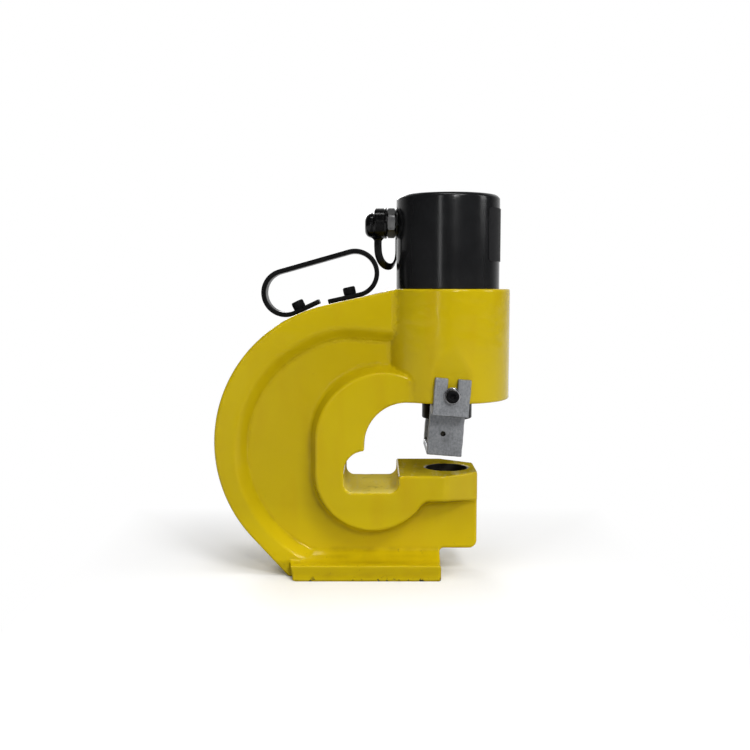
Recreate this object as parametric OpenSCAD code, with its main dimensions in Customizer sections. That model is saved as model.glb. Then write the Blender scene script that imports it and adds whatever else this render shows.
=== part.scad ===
// Hydraulic hole punch: a cast C-frame with a screwed-in cylinder above a die jaw.
// Millimetres. The origin is the middle of the base's underside, +Z is up and +X is towards the punch.

/* [Base] */
// Length of the base along the frame
base_len = 157; // [151:1:163]
// Width of the base across the frame
base_w = 104; // [96:1:112]
// Thickness of the base
base_t = 16; // [12:0.5:20]
// Height and width of the slope between base and web
base_slope = 10; // [6:0.5:12]
// Undercut of the base's back end at the floor
base_undercut = 5; // [0:0.5:7]
// Distance of the heel's foot behind the base's end
heel_reach = 3; // [0.5:0.5:4]

/* [C frame] */
// Drop from the head's top to the top of the round back
back_drop = 13; // [9:0.5:17]
// Depth of the round back's lowest point under the floor
back_sink = 7; // [4:0.5:10]
// Distance of the round back's centre behind the base's middle
back_offset = 10; // [7:0.5:13]
// Thickness of the rim around the back
rim_t = 72; // [66:1:78]
// Thickness of the web inside the rim
web_t = 51; // [49:1:54]
// Width of the rim's face around the web pocket
rim_w = 18.5; // [16:0.5:22]
// Width of the pocket's sloped wall
pocket_slope = 11; // [8:0.5:14]
// Distance of the pocket's centre ahead of the back's centre
pocket_shift = 4; // [2:0.5:6]
// Distance of the pocket's centre below the back's centre
pocket_drop = 7.5; // [5:0.5:10]
// Drop from the head's top to the pocket's upper edge at its centre
pocket_top_drop = 41; // [35:1:47]
// Fall of the pocket's upper edge towards the head, degrees
pocket_tilt = 4.6; // [2:0.2:7]

/* [Throat] */
// Distance of the punch axis ahead of the base's middle
axis_x = 87; // [85:0.5:90]
// Distance from the punch axis to the back of the relief
throat_depth = 109; // [106:0.5:112]
// Distance from the punch axis to the throat's upper back wall
throat_wall = 88; // [85:0.5:91]
// Radius of the throat's upper corner
throat_r = 43.7; // [38:0.1:46]
// Radius of the round relief at the back of the throat
relief_r = 21.5; // [20:0.5:25]
// Depth of the slot behind the jaw
slot_depth = 17.5; // [14:0.5:20]
// Distance from the punch axis to the slot's front wall
slot_front = 53; // [48:0.5:58]
// Radius of the slot's lower corners
slot_r = 9; // [6:0.5:12]

/* [Throat band] */
// Width of the thick band behind the throat
band_w = 50; // [46:0.5:54]
// Radius of the band's lower end
band_low_r = 59; // [55:0.5:62]
// Height of the lower end's centre above the die face
band_low_rise = 2; // [1:0.5:4]
// Radius of the band's upper end
band_high_r = 70; // [66:0.5:73]
// Drop from the head's underside to the upper end's centre
band_high_drop = 39.5; // [36:0.5:43]
// Draft of the band's walls
band_draft = 6; // [3:0.5:9]

/* [Jaw] */
// Height of the jaw's die face
jaw_top = 110; // [107:0.5:113]
// Width of the jaw and of the throat band
jaw_t = 104; // [98:1:110]
// Height of the jaw's side faces
jaw_h = 26; // [22:0.5:30]
// Distance from the punch axis to the jaw's end
jaw_end = 30.7; // [28.7:0.1:33]
// Length of the jaw's tapered end
jaw_taper = 34; // [30:0.5:40]
// Fall of the jaw's underside from its edges to the web
ledge_fall = 8; // [4:0.5:12]
// Climb of the jaw's underside along the tapered end
taper_climb = 3.5; // [0:0.5:8]
// Height of the nose's underside
nose_bottom = 27.5; // [25:0.5:33]
// Radius of the nose's lower corner
nose_r = 8; // [5:0.5:12]
// Diameter of the die seat
die_seat_d = 44.5; // [42:0.5:47]
// Depth of the die seat
die_seat_depth = 18; // [14:0.5:22]
// Diameter of the slug hole
slug_d = 18; // [14:0.5:19]
// Diameter of the die lock screw
die_lock_d = 8; // [6:0.5:10]

/* [Head] */
// Wall of the head around the barrel's thread
head_wall = 17.5; // [16:0.5:19]
// Height of the head's underside
head_bottom = 185.5; // [184:0.5:188]
// Height of the head
head_h = 115.5; // [113:0.5:118]
// Depth of the flats for the stripper
flat_depth = 2.75; // [2:0.25:4]
// Height of the flats
flat_h = 30.5; // [30.5:0.5:35]
// Height over which each flat runs out into the round head
flat_run = 20; // [12:1:30]

/* [Cylinder] */
// Wall of the barrel around the bore
barrel_wall = 14.25; // [13:0.25:16]
// Height of the barrel above the head
barrel_h = 97; // [95:0.5:102]
// Chamfer of the barrel's top edge
barrel_chamfer = 3; // [2:0.5:5]
// Diameter of the bore
bore_d = 80; // [79:0.5:82]
// Thickness of the closed end
barrel_end_t = 18; // [16:0.5:19]
// Wall of the barrel's threaded end
spigot_wall = 8; // [6.5:0.5:9.5]
// Length of the barrel's threaded end
spigot_l = 45; // [38:0.5:48]
// Diameter of the barrel lock screw
barrel_lock_d = 6; // [5:0.5:8]
// Height of the barrel lock screw under the head's top
barrel_lock_drop = 16; // [12:0.5:20]

/* [Ram] */
// Share of the bore's diameter that the rod takes
rod_share = 0.5625; // [0.53:0.0025:0.585]
// Length of the piston
piston_l = 30; // [29:0.5:34]
// Stroke of the ram
stroke = 25; // [20:0.5:26]
// Diameter of the crown's stop boss
crown_d = 60; // [50:0.5:66]
// Height of the crown's stop boss
crown_h = 15.7; // [14.5:0.1:18]
// Radial depth of the seal groove
seal_groove = 6; // [5:0.5:8]
// Height of the piston seal
seal_h = 8; // [7:0.5:9]
// Height of the backup ring
backup_h = 2.5; // [2:0.5:3]
// Radial depth of the guide ring groove
guide_groove = 2.5; // [2:0.5:3]
// Height of the guide ring
guide_h = 8; // [6:0.5:9]
// Wall of the guide bush around the rod
bush_wall = 7.5; // [6.5:0.5:8.5]
// Length of the guide bush under its flange
bush_l = 15; // [12:0.5:18]
// Radial room around the bush's flange
bush_flange_room = 2; // [1:0.5:3]
// Thickness of the bush's flange
bush_flange_t = 4; // [3:0.5:6]
// Height of the rod wiper
wiper_h = 6; // [5:0.5:8]
// Wire diameter of the return spring
spring_wire = 7; // [6:0.5:7.5]
// Radial room around the return spring
spring_room = 3.5; // [2.5:0.5:5]
// Number of the return spring's curls
spring_curls = 6; // [5:1:7]

/* [Punch] */
// Wall of the punch nut around the rod's thread
nut_wall = 7.5; // [6.5:0.5:8.5]
// Height of the punch nut
nut_h = 30; // [29:0.5:32]
// Depth of the nut's recess in the head
nut_recess = 11.5; // [11:0.5:14]
// Free space above the nut in its recess
nut_room = 3; // [2:0.5:4]
// Step from the rod to its threaded end
nut_thread_step = 3.5; // [2.5:0.5:5]
// Length of the rod's threaded end
nut_thread_l = 16; // [14:0.5:17]
// Diameter of the punch's flange
punch_flange_d = 28; // [26:0.5:32]
// Thickness of the punch's flange
punch_flange_t = 6; // [5:0.5:7]
// Diameter of the punch's shank
punch_shank_d = 18.4; // [18:0.1:19]
// Diameter of the punch's tip
punch_tip_d = 17.4; // [14:0.1:17.8]
// Depth of the punch in the die at full stroke
punch_bite = 4; // [2:0.5:6]
// Length of the punch's tip
punch_tip_l = 18; // [14:0.5:20]
// Diameter of the nut's tommy bar holes
tommy_d = 6; // [5:0.5:7]

/* [Stripper] */
// Lean of the stripper about its screws, degrees
stripper_lean = 4.5; // [0:0.5:5]
// Width of the stripper
stripper_w = 36.5; // [35:0.5:39]
// Height of the stripper's screws under the flats' upper end
stripper_screw_drop = 21.5; // [21:0.5:22.5]
// Height of the ears above the screws
ear_up = 17; // [15:0.5:18]
// Room between the shelves and the head
shelf_room = 4; // [3.5:0.5:5]
// Thickness of the ears
ear_t = 6.5; // [5:0.5:8]
// Room beside the screw in the ears' slot
ear_slot_side = 1; // [0.5:0.1:1.5]
// Room below the screw at the slot's end
ear_slot_room = 2.5; // [2.5:0.5:4]
// Thickness of the shelves under the ears
shelf_t = 8; // [7:0.5:8.5]
// Room between the nut and each leg
leg_room = 1.5; // [1.5:0.5:2.5]
// Thickness of the legs
leg_t = 7; // [5:0.5:8]
// Height of the stripper's plate above the die face
work_gap = 18; // [16:0.5:20]
// Thickness of the stripper's plate
plate_t = 6.5; // [5:0.5:7]
// Rim of the plate beside its punch hole
plate_rim = 2.25; // [1.75:0.25:2.5]
// Diameter of the blind hole in each leg
pin_hole_d = 5; // [3:0.5:6]
// Depth of the blind hole in each leg
pin_hole_depth = 4.5; // [2:0.5:4.5]
// Diameter of the stripper's washers
washer_d = 17.5; // [16:0.5:19]
// Thickness of the stripper's washers
washer_t = 2; // [1.5:0.5:3]

/* [Cap screws] */
// Diameter of the cap screws
screw_d = 8; // [7:0.5:8.5]
// Head diameter of the cap screws
screw_head_d = 13; // [12:0.5:14]
// Head height of the cap screws
screw_head_h = 8; // [7:0.5:9]
// Socket width of the cap screws
screw_socket = 6; // [5:0.5:7]
// Depth of the cap screws in their threads
screw_grip = 16; // [12:0.5:18]

/* [Handle] */
// Width of the handle's bar
handle_w = 25; // [22:0.5:28]
// Thickness of the handle's bar
handle_t = 5; // [4:0.5:6]
// Share of the room under the port that the handle's bends take
handle_r_share = 0.33; // [0.315:0.005:0.345]
// Distance between the ends of the handle's feet
handle_span = 67.5; // [64:0.5:71]
// Length of the back foot
handle_back_foot = 28; // [26:0.5:30]
// Distance of the back screw along its foot
handle_back_screw = 6; // [5:0.5:8]
// Distance from the strap's edge to the front bend
handle_clear = 14.6; // [13.5:0.1:17]
// Length of the front foot
handle_front_foot = 34; // [30:0.5:35]
// Distance of the front screw along its foot
handle_front_screw = 10; // [8:0.5:12]

/* [Coupler] */
// Height of the port under the barrel's top
port_drop = 28; // [26.5:0.5:29]
// Depth of the port's flat
port_flat = 1.55; // [1:0.05:2.5]
// Rim of the port's flat around the strap's ring
port_flat_rim = 2; // [1:0.5:4]
// Diameter of the port's thread
port_d = 17; // [16:0.5:18]
// Depth of the port's thread
port_depth = 9; // [8:0.5:10]
// Diameter of the oil way
oil_d = 6; // [4:0.5:6]
// Width of the nipple's hex across its flats
hex_af = 27; // [25:0.5:28]
// Length of the nipple's hex
hex_l = 9; // [8:0.5:11]
// Diameter of the nipple's nose
nose_d = 24; // [22:0.5:25]
// Length of the nipple's nose
nose_l = 12.5; // [12:0.5:14]
// Diameter of the nipple's valve chamber
valve_d = 13; // [12:0.5:14]
// Diameter of the nipple's mouth
mouth_d = 9; // [8:0.5:10]
// Thickness of the wall around the mouth
mouth_t = 4.5; // [3.5:0.5:6]
// Length of the valve poppet's body
poppet_l = 7.5; // [6:0.5:8]
// Travel of the valve poppet
poppet_travel = 3; // [2:0.5:4]
// Wire diameter of the valve spring
valve_wire = 1; // [0.8:0.1:1.2]
// Number of the valve spring's curls
valve_curls = 4; // [3:1:5]
// Thickness of the valve spring's retainer
retainer_t = 2.5; // [2:0.5:3]

/* [Dust cap] */
// Wall of the cap around the nipple's nose
cap_wall = 3.5; // [3:0.5:4.5]
// Length of the cap's sleeve past the nose
cap_lip = 0.9; // [0.5:0.1:2]
// Step from the cap's sleeve to its end
cap_step = 3.15; // [2.5:0.05:4]
// Length of the cap's end
cap_end_l = 9.5; // [8.5:0.5:11]
// Radius of the cap's rounded end
cap_end_r = 4; // [3:0.5:5]
// Chamfer of the cap's shoulder
cap_chamfer = 2; // [1:0.5:3]
// Width of the strap
strap_w = 8; // [6:0.5:8]
// Thickness of the strap
strap_t = 2.5; // [2:0.1:2.6]
// Thickness of the strap's neck ring
ring_t = 2.5; // [2:0.1:3]
// Diameter of the strap's neck ring
ring_d = 30; // [28:0.5:31]
// Depth of the strap's loop under the port's axis
strap_hang = 44.8; // [42:0.2:46]
// Bow of the strap's loop behind the neck ring
strap_bow = 7.9; // [6:0.1:10]

/* [Rating plate] */
// Drop from the barrel's top to the blank plate's upper edge
label_drop = 14; // [10:0.5:18]
// Angle of the blank plate around the barrel, degrees
label_angle = 90; // [70:1:100]
// Thickness of the blank plate
label_t = 0.8; // [0.5:0.1:1.2]
// Height of the blank plate's lower edge above the head
label_z = 28.5; // [22:0.5:34]

/* [Fits] */
// Radial room in threads
thread_gap = 0.1; // [0.05:0.01:0.15]
// Radial room of running fits
run_gap = 0.05; // [0.03:0.01:0.08]
// Room between faces that slide past each other
slide_gap = 0.1; // [0.08:0.01:0.2]
// Room at loose joints
loose_gap = 0.3; // [0.3:0.05:0.4]
// Radial room of screws in plain holes
hole_gap = 0.5; // [0.4:0.1:0.8]

/* [Hidden] */
$fn = 96;
// Overrun of every cut past the faces it leaves through
overrun = 1;
// Reach of a cut that clears the whole frame
reach = 2 * (head_bottom + head_h);
yellow = [0.93, 0.72, 0.04];
black = [0.07, 0.07, 0.075];
steel = [0.62, 0.62, 0.6];
bronze = [0.72, 0.53, 0.28];
rubber = [0.1, 0.1, 0.1];

// Diameters of the cylinder's parts, from the bore and the rod outwards
barrel_d = bore_d + 2 * barrel_wall;
spigot_d = bore_d + 2 * spigot_wall;
head_d = spigot_d + 2 * head_wall;
flat_y = head_d / 2 - flat_depth;
rod_d = bore_d * rod_share;
bush_d = rod_d + 2 * bush_wall;
bush_flange_d = bore_d - 2 * bush_flange_room;
spring_d = bore_d - 2 * spring_room - spring_wire;
nut_thread_d = rod_d - 2 * nut_thread_step;
nut_d = nut_thread_d + 2 * nut_wall;

// Heights of the cylinder's parts, from the head upwards
head_top = head_bottom + head_h;
recess_top = head_bottom + nut_recess;
bush_bottom = recess_top + wiper_h;
bush_shoulder = bush_bottom + bush_l;
spring_bottom = bush_shoulder + bush_flange_t;
barrel_bottom = head_top - spigot_l;
barrel_top = head_top + barrel_h;
bore_top = barrel_top - barrel_end_t;
crown_top = bore_top - loose_gap;
piston_top = crown_top - crown_h;
piston_bottom = piston_top - piston_l;
nut_top = recess_top - nut_room;
nut_bottom = nut_top - nut_h;
rod_end = nut_top - nut_thread_l;
flange_bottom = rod_end - punch_flange_t;
punch_l = flange_bottom - jaw_top - stroke + punch_bite;

// Places of the frame's outline in the X-Z plane
back_r = (head_top - back_drop + back_sink) / 2;
back_z = back_r - back_sink;
back_c = [-back_offset, back_z];
crease_x = axis_x - sqrt(pow(head_d / 2, 2) - pow(rim_t / 2, 2));
arm_end = [crease_x, head_top];
arm_angle = tangent_angle(arm_end, back_c, back_r, 1);
arm_start = on_circle(back_c, back_r, arm_angle);
heel_end = [-base_len / 2 - heel_reach, 0];
heel_start = on_circle(back_c, back_r, tangent_angle(heel_end, back_c, back_r, -1));
pocket_c = [back_c[0] + pocket_shift, back_c[1] - pocket_drop];
pocket_r = back_r - rim_w;
pocket_top = head_top - pocket_top_drop;
pocket_depth = (rim_t - web_t) / 2;
pocket_open_share = 0.2;
throat_x = axis_x - throat_wall;
slot_floor = jaw_top - slot_depth;
relief_x = axis_x - throat_depth;
relief_c = [relief_x + relief_r, slot_floor + relief_r];
slot_x = axis_x - slot_front;
band_x = throat_x - band_w;
band_low_z = jaw_top + band_low_rise;
band_high_z = head_bottom - band_high_drop;
band_low_c = [band_x + band_low_r, band_low_z];
band_high_c = [band_x + band_high_r, band_high_z];
nose_x = axis_x + jaw_end;
ledge_z = jaw_top - jaw_h;

// Places of the stripper and its screws
stripper_z = head_bottom + flat_h - stripper_screw_drop;
ear_y = flat_y + slide_gap;
washer_y = ear_y + ear_t + slide_gap;
ear_down = flat_h - stripper_screw_drop + shelf_t + shelf_room;
ear_slot = screw_d + 2 * ear_slot_side;
leg_gap = nut_d + 2 * leg_room;
leg_down = stripper_z - jaw_top - work_gap;
plate_hole_d = stripper_w - 2 * plate_rim;

// Places along the coupler, measured out from the port's flat
port_x = axis_x - barrel_d / 2 + port_flat;
port_z = barrel_top - port_drop;
ring_0 = slide_gap;
hex_0 = ring_0 + ring_t + slide_gap;
nose_0 = hex_0 + hex_l;
nose_1 = nose_0 + nose_l;
cap_d = nose_d + 2 * cap_wall;
cap_end_d = cap_d - 2 * cap_step;
cap_l = nose_l + cap_lip;
cap_0 = nose_0 + slide_gap;
cap_1 = cap_0 + cap_l;
cap_2 = cap_1 + cap_end_l;
valve_seat = nose_1 - mouth_t;
poppet_1 = valve_seat - loose_gap;
poppet_0 = poppet_1 - poppet_l;
retainer_1 = ring_0 + retainer_t;
hex_ac = hex_af / cos(180 / 6);

// Route of the dust cap's strap, measured from the port's flat
strap_place_share = 0.7;
cap_strap_x = cap_0 + cap_l * strap_place_share;
strap_top = -cap_d / 2 - strap_t - slide_gap;
strap_side = ring_d / 2 + strap_t + slide_gap;
strap_end_x = -ring_0 - ring_t / 2;
strap_swing = strap_side + strap_bow;
// Points of the loop as shares of the cap's distance, the loop's swing and the loop's depth
loop_shares = [[1, 0, 0.56], [0.96, 0.04, 0.737], [0.825, 0.137, 0.893], [0.59, 0.275, 0.993],
    [0.33, 0.45, 1], [0.15, 0.647, 0.893], [0.062, 0.843, 0.692], [0.05, 0.973, 0.446], [0.05, 1, 0.223]];
// Points of the loop's end as shares of its bow and its depth
end_shares = [[0.68, 0.033], [0.37, 0], [0.18, 0], [0, 0]];
strap_route = concat(
    [[-cap_strap_x, 0, strap_top]],
    [for (s = loop_shares) [-cap_strap_x * s[0], strap_swing * s[1], -strap_hang * s[2]]],
    [for (s = end_shares) [strap_end_x, strap_side + strap_bow * s[0], -strap_hang * s[1]]]);
strap_steps = 4;
strap_flank_share = 0.7;

// Places of the handle's feet and bends
arm_slope = arm_angle - 90;
front_x = port_x - cap_strap_x - strap_w / 2 - handle_clear;
front_foot = [front_x, arm_start[1] + (front_x - arm_start[0]) * tan(arm_slope)];
handle_slope = asin((back_c[0] - front_x + handle_span) / back_r);
back_foot = on_circle(back_c, back_r, 90 + handle_slope);
handle_r = (port_z - front_foot[1]) * handle_r_share;
back_bend = back_foot + handle_r * square_to(handle_slope);
front_bend = front_foot + handle_r * square_to(arm_slope);
grip_slope = atan2(front_bend[1] - back_bend[1], front_bend[0] - back_bend[0]);
screw_l = screw_grip + handle_t;

// Steps of one of the handle's bends
bend_steps = 36;
// Sides of a round wire and rings along one curl
wire_sides = 6;
curl_rings = 8;

function tangent_angle(p, c, r, side) = atan2(p[1] - c[1], p[0] - c[0]) + side * acos(r / norm(p - c));
function on_circle(c, r, a) = c + r * [cos(a), sin(a)];
function along(a) = [cos(a), sin(a)];
function square_to(a) = [-sin(a), cos(a)];
function arc(c, r, a, b) = [for (i = [0:bend_steps]) on_circle(c, r, a + (b - a) * i / bend_steps)];
function unit(v) = v / norm(v);

// Faces of a closed tube made of rings with n points each
function tube_faces(rings, n) = concat(
    [[for (j = [0:n - 1]) j]],
    [for (i = [0:rings - 2], j = [0:n - 1])
        [i * n + j, (i + 1) * n + j, (i + 1) * n + (j + 1) % n, i * n + (j + 1) % n]],
    [[for (j = [n - 1:-1:0]) (rings - 1) * n + j]]);

// Middle line of a coil spring standing on z = 0
function coil_line(d, h, curls) = [for (i = [0:curls * curl_rings])
    let (a = 360 * i / curl_rings, s = i / (curls * curl_rings)) [d / 2 * cos(a), d / 2 * sin(a), h * s]];

// Least free space between the curls of a coil spring
function coil_gap(line, wire) = min([for (i = [0:len(line) - 1], j = [i + curl_rings - 2:len(line) - 1])
    if (j > i + curl_rings / 2) norm(line[i] - line[j])]) - wire;

// One smooth point of a route between its points i and i + 1
function route_at(p, i, t) = let (
    a = p[max(i - 1, 0)], b = p[i], c = p[i + 1], d = p[min(i + 2, len(p) - 1)])
    (2 * b + (c - a) * t + (2 * a - 5 * b + 4 * c - d) * t * t + (3 * b - a - 3 * c + d) * t * t * t) / 2;
function route_line(p, steps) = concat(
    [for (i = [0:len(p) - 2], k = [0:steps - 1]) route_at(p, i, k / steps)], [p[len(p) - 1]]);
function heading(line, i) = unit(line[min(i + 1, len(line) - 1)] - line[max(i - 1, 0)]);

// Width directions along a strap, each the one before turned square to the new heading
function widths(line, w, i = 0) = i == len(line) ? [] :
    let (h = heading(line, i), v = unit(w - (w * h) * h)) concat([v], widths(line, v, i + 1));

// A flat shape in the X-Z plane, given a thickness along Y
module across(t) {
    rotate([90, 0, 0])
        linear_extrude(height = t, center = true)
            children();
}

// A flat shape in the Y-Z plane, drawn out along X
module lengthways(l) {
    rotate([90, 0, 90])
        linear_extrude(height = l)
            children();
}

// Pieces placed on the punch axis
module on_axis(z) {
    translate([axis_x, 0, z])
        children();
}

// Pieces placed along the coupler, out from the port's flat
module on_port(z) {
    translate([port_x - z, 0, port_z])
        rotate([0, -90, 0])
            children();
}

// A ring with its lower face at z = 0
module ring(d_out, d_in, h) {
    difference() {
        cylinder(h = h, d = d_out);
        translate([0, 0, -overrun])
            cylinder(h = h + 2 * overrun, d = d_in);
    }
}

// Coil spring of round wire standing on z = 0, as one unbroken tube
module coil(d, h, wire, curls) {
    line = coil_line(d, h - wire, curls);
    echo(coil_gap = coil_gap(line, wire));
    points = [for (p = line, j = [0:wire_sides - 1])
        let (a = 360 * j / wire_sides, out = unit([p[0], p[1], 0]))
        p + [0, 0, wire / 2] + wire / 2 * (cos(a) * out + [0, 0, sin(a)])];
    polyhedron(points = points, faces = tube_faces(len(line), wire_sides));
}

// Flat strap along a route, as one unbroken tube
module strap_along(route, w, t, start) {
    line = route_line(route, strap_steps);
    side = widths(line, start);
    edge = [[1, 0], [strap_flank_share, 1], [-strap_flank_share, 1], [-1, 0], [-strap_flank_share, -1],
        [strap_flank_share, -1]];
    points = [for (i = [0:len(line) - 1], e = edge)
        line[i] + w / 2 * e[0] * side[i] + t / 2 * e[1] * cross(heading(line, i), side[i])];
    polyhedron(points = points, faces = tube_faces(len(line), len(edge)));
}

// Socket cap screw standing head up, with the underside of its head at z = 0
module cap_screw(l) {
    difference() {
        union() {
            cylinder(h = screw_head_h, d = screw_head_d);
            translate([0, 0, -l])
                cylinder(h = l + screw_head_h / 2, d = screw_d);
        }
        translate([0, 0, screw_head_h / 2])
            cylinder(h = screw_head_h, d = screw_socket / cos(180 / 6), $fn = 6);
    }
}

// Headless screw with its socket up at z = 0
module grub_screw(d, l) {
    difference() {
        translate([0, 0, -l])
            cylinder(h = l, d = d);
        translate([0, 0, -l / 2])
            cylinder(h = l, d = d / 2 / cos(180 / 6), $fn = 6);
    }
}

// Outline of the frame's back, from the heel to the arm over the head
module back_outline() {
    intersection() {
        union() {
            translate(back_c)
                circle(r = back_r);
            polygon([back_c, arm_start, arm_end, [axis_x, head_top], [axis_x, back_z]]);
            polygon([back_c, heel_start, heel_end, [0, 0]]);
        }
        translate([-reach, 0])
            square([reach + axis_x, head_top]);
    }
}

// Pocket that leaves the web inside the rim, on the side towards -Y
module pocket() {
    grow = pocket_slope * overrun / pocket_depth;
    open_x = pocket_c[0] + pocket_r * pocket_open_share;
    intersection() {
        union() {
            translate([pocket_c[0], -web_t / 2, pocket_c[1]])
                rotate([90, 0, 0])
                    cylinder(h = pocket_depth + overrun, r1 = pocket_r - pocket_slope, r2 = pocket_r + grow);
            translate([open_x, -rim_t / 2 - overrun, -overrun])
                cube([reach, pocket_depth + overrun, head_top]);
        }
        translate([pocket_c[0], -rim_t / 2, pocket_top])
            rotate([0, pocket_tilt, 0])
                rotate([-atan2(pocket_slope, pocket_depth), 0, 0])
                    translate([-reach, -reach, -2 * reach])
                        cube([2 * reach, 2 * reach, 2 * reach]);
    }
}

// Thick band behind the throat with drafted walls, on the side towards -Y
module band() {
    h = (jaw_t - web_t) / 2;
    ends = [[band_low_c, band_low_r], [band_high_c, band_high_r]];
    for (e = ends)
        translate([e[0][0], -web_t / 2, e[0][1]])
            rotate([90, 0, 0])
                cylinder(h = h, r1 = e[1] + band_draft, r2 = e[1]);
    translate([0, 0, band_low_z])
        linear_extrude(height = band_high_z - band_low_z)
            polygon([[band_x - band_draft, -web_t / 2], [band_x, -jaw_t / 2], [band_low_c[0], -jaw_t / 2],
                [band_low_c[0], -web_t / 2]]);
}

// Space under the plane in which the jaw's underside runs out along the taper, on the side towards -Y
module under_taper() {
    rise = atan2(taper_climb, jaw_taper);
    fall = atan2(ledge_fall * cos(rise), (jaw_t - web_t) / 2);
    translate([nose_x - jaw_taper, -jaw_t / 2, ledge_z])
        rotate([-fall, -rise, 0])
            translate([-reach, -reach, -2 * reach])
                cube([2 * reach, 2 * reach, 2 * reach]);
}

// Jaw with a tapered end and a sloped underside
module jaw() {
    difference() {
        intersection() {
            linear_extrude(height = jaw_top)
                polygon([[band_low_c[0], -jaw_t / 2], [nose_x - jaw_taper, -jaw_t / 2], [nose_x, -web_t / 2],
                    [nose_x, web_t / 2], [nose_x - jaw_taper, jaw_t / 2], [band_low_c[0], jaw_t / 2]]);
            lengthways(reach)
                polygon([[-jaw_t / 2, jaw_top], [-jaw_t / 2, ledge_z], [-web_t / 2, ledge_z - ledge_fall],
                    [web_t / 2, ledge_z - ledge_fall], [jaw_t / 2, ledge_z], [jaw_t / 2, jaw_top]]);
        }
        under_taper();
        mirror([0, 1, 0])
            under_taper();
    }
}

// Base with the slopes that run up to the web
module base() {
    foot = web_t / 2 + base_slope;
    across(base_w)
        polygon([[base_undercut - base_len / 2, 0], [-base_len / 2, base_t], [base_len / 2, base_t],
            [base_len / 2, 0]]);
    translate([-base_len / 2, 0, 0])
        lengthways(base_len)
            polygon([[-foot, 0], [-foot, base_t], [-web_t / 2, base_t + base_slope],
                [web_t / 2, base_t + base_slope], [foot, base_t], [foot, 0]]);
}

// Throat, slot and relief as one flat cut
module throat() {
    corner = [throat_x + throat_r, head_bottom - throat_r];
    translate(corner)
        circle(r = throat_r);
    translate([throat_x, jaw_top])
        square([throat_r, corner[1] - jaw_top]);
    translate([corner[0], jaw_top])
        square([reach, head_bottom - jaw_top]);
    translate(relief_c)
        circle(r = relief_r);
    translate([relief_x + slot_r, slot_floor])
        square([slot_x - relief_x - 2 * slot_r, slot_depth + overrun]);
    for (x = [relief_x + slot_r, slot_x - slot_r])
        translate([x, slot_floor + slot_r])
            circle(r = slot_r);
    translate([relief_x, slot_floor + slot_r])
        square([2 * slot_r, relief_r - slot_r]);
    translate([slot_x - 2 * slot_r, slot_floor + slot_r])
        square([2 * slot_r, slot_depth - slot_r + overrun]);
}

// Open space under the nose with the nose's rounded lower corner
module under_nose() {
    translate([base_len / 2, -overrun])
        square([reach, nose_bottom + overrun]);
    difference() {
        translate([nose_x - nose_r, nose_bottom - overrun])
            square([nose_r + overrun, nose_r + overrun]);
        translate([nose_x - nose_r, nose_bottom + nose_r])
            circle(r = nose_r);
    }
}

// Space cut away for the stripper's flat, which runs out into the round head, on the side towards -Y
module flat() {
    out = head_d / 2 + overrun;
    low = head_bottom - overrun;
    high = head_bottom + flat_h;
    lengthways(reach)
        polygon([[-flat_y, low], [-flat_y, high], [-out, high + flat_run * (out - flat_y) / flat_depth],
            [-out, low]]);
}

// Bores of the head, from the barrel's thread down to the nut's recess
module head_bores() {
    on_axis(barrel_bottom)
        cylinder(h = spigot_l + overrun, d = spigot_d + 2 * thread_gap);
    on_axis(bush_shoulder)
        cylinder(h = barrel_bottom - bush_shoulder + overrun, d = bore_d);
    on_axis(recess_top)
        cylinder(h = bush_shoulder - recess_top + overrun, d = bush_d);
    on_axis(head_bottom - overrun)
        cylinder(h = nut_recess + 2 * overrun, d = nut_d + 2 * nut_room);
}

// Threaded holes for the handle, stripper and lock screws
module screw_holes() {
    d = screw_d + 2 * thread_gap;
    depth = screw_grip + overrun;
    for (p = handle_places())
        translate([p[0][0], 0, p[0][1]])
            rotate([0, -p[1], 0])
                translate([0, 0, -depth])
                    cylinder(h = depth + handle_t, d = d);
    for (s = [-1, 1])
        translate([axis_x, s * flat_y, stripper_z])
            rotate([90 * s, 0, 0])
                translate([0, 0, -overrun])
                    cylinder(h = depth + overrun, d = d);
    on_axis(jaw_top - die_seat_depth / 2)
        rotate([0, 90, 0])
            cylinder(h = jaw_end + overrun, d = die_lock_d + 2 * thread_gap);
    on_axis(head_top - barrel_lock_drop)
        rotate([-90, 0, 0])
            cylinder(h = head_d / 2 + overrun, d = barrel_lock_d + 2 * thread_gap);
}

// Foot points of the handle's screws and the slopes they stand on
function handle_places() = [
    [back_foot + handle_back_screw * along(handle_slope), handle_slope],
    [front_foot - handle_front_screw * along(arm_slope), arm_slope]];

module c_frame() {
    color(yellow)
        difference() {
            union() {
                difference() {
                    across(rim_t)
                        back_outline();
                    pocket();
                    mirror([0, 1, 0])
                        pocket();
                }
                band();
                mirror([0, 1, 0])
                    band();
                jaw();
                across(web_t)
                    translate([band_low_c[0], nose_bottom])
                        square([nose_x - band_low_c[0], ledge_z - nose_bottom]);
                base();
                on_axis(head_bottom)
                    cylinder(h = head_h, d = head_d);
            }
            across(reach)
                throat();
            across(reach)
                under_nose();
            on_axis(jaw_top - die_seat_depth)
                cylinder(h = die_seat_depth + overrun, d = die_seat_d);
            on_axis(0)
                cylinder(h = jaw_top - overrun, d = slug_d);
            flat();
            mirror([0, 1, 0])
                flat();
            head_bores();
            screw_holes();
        }
}

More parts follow.
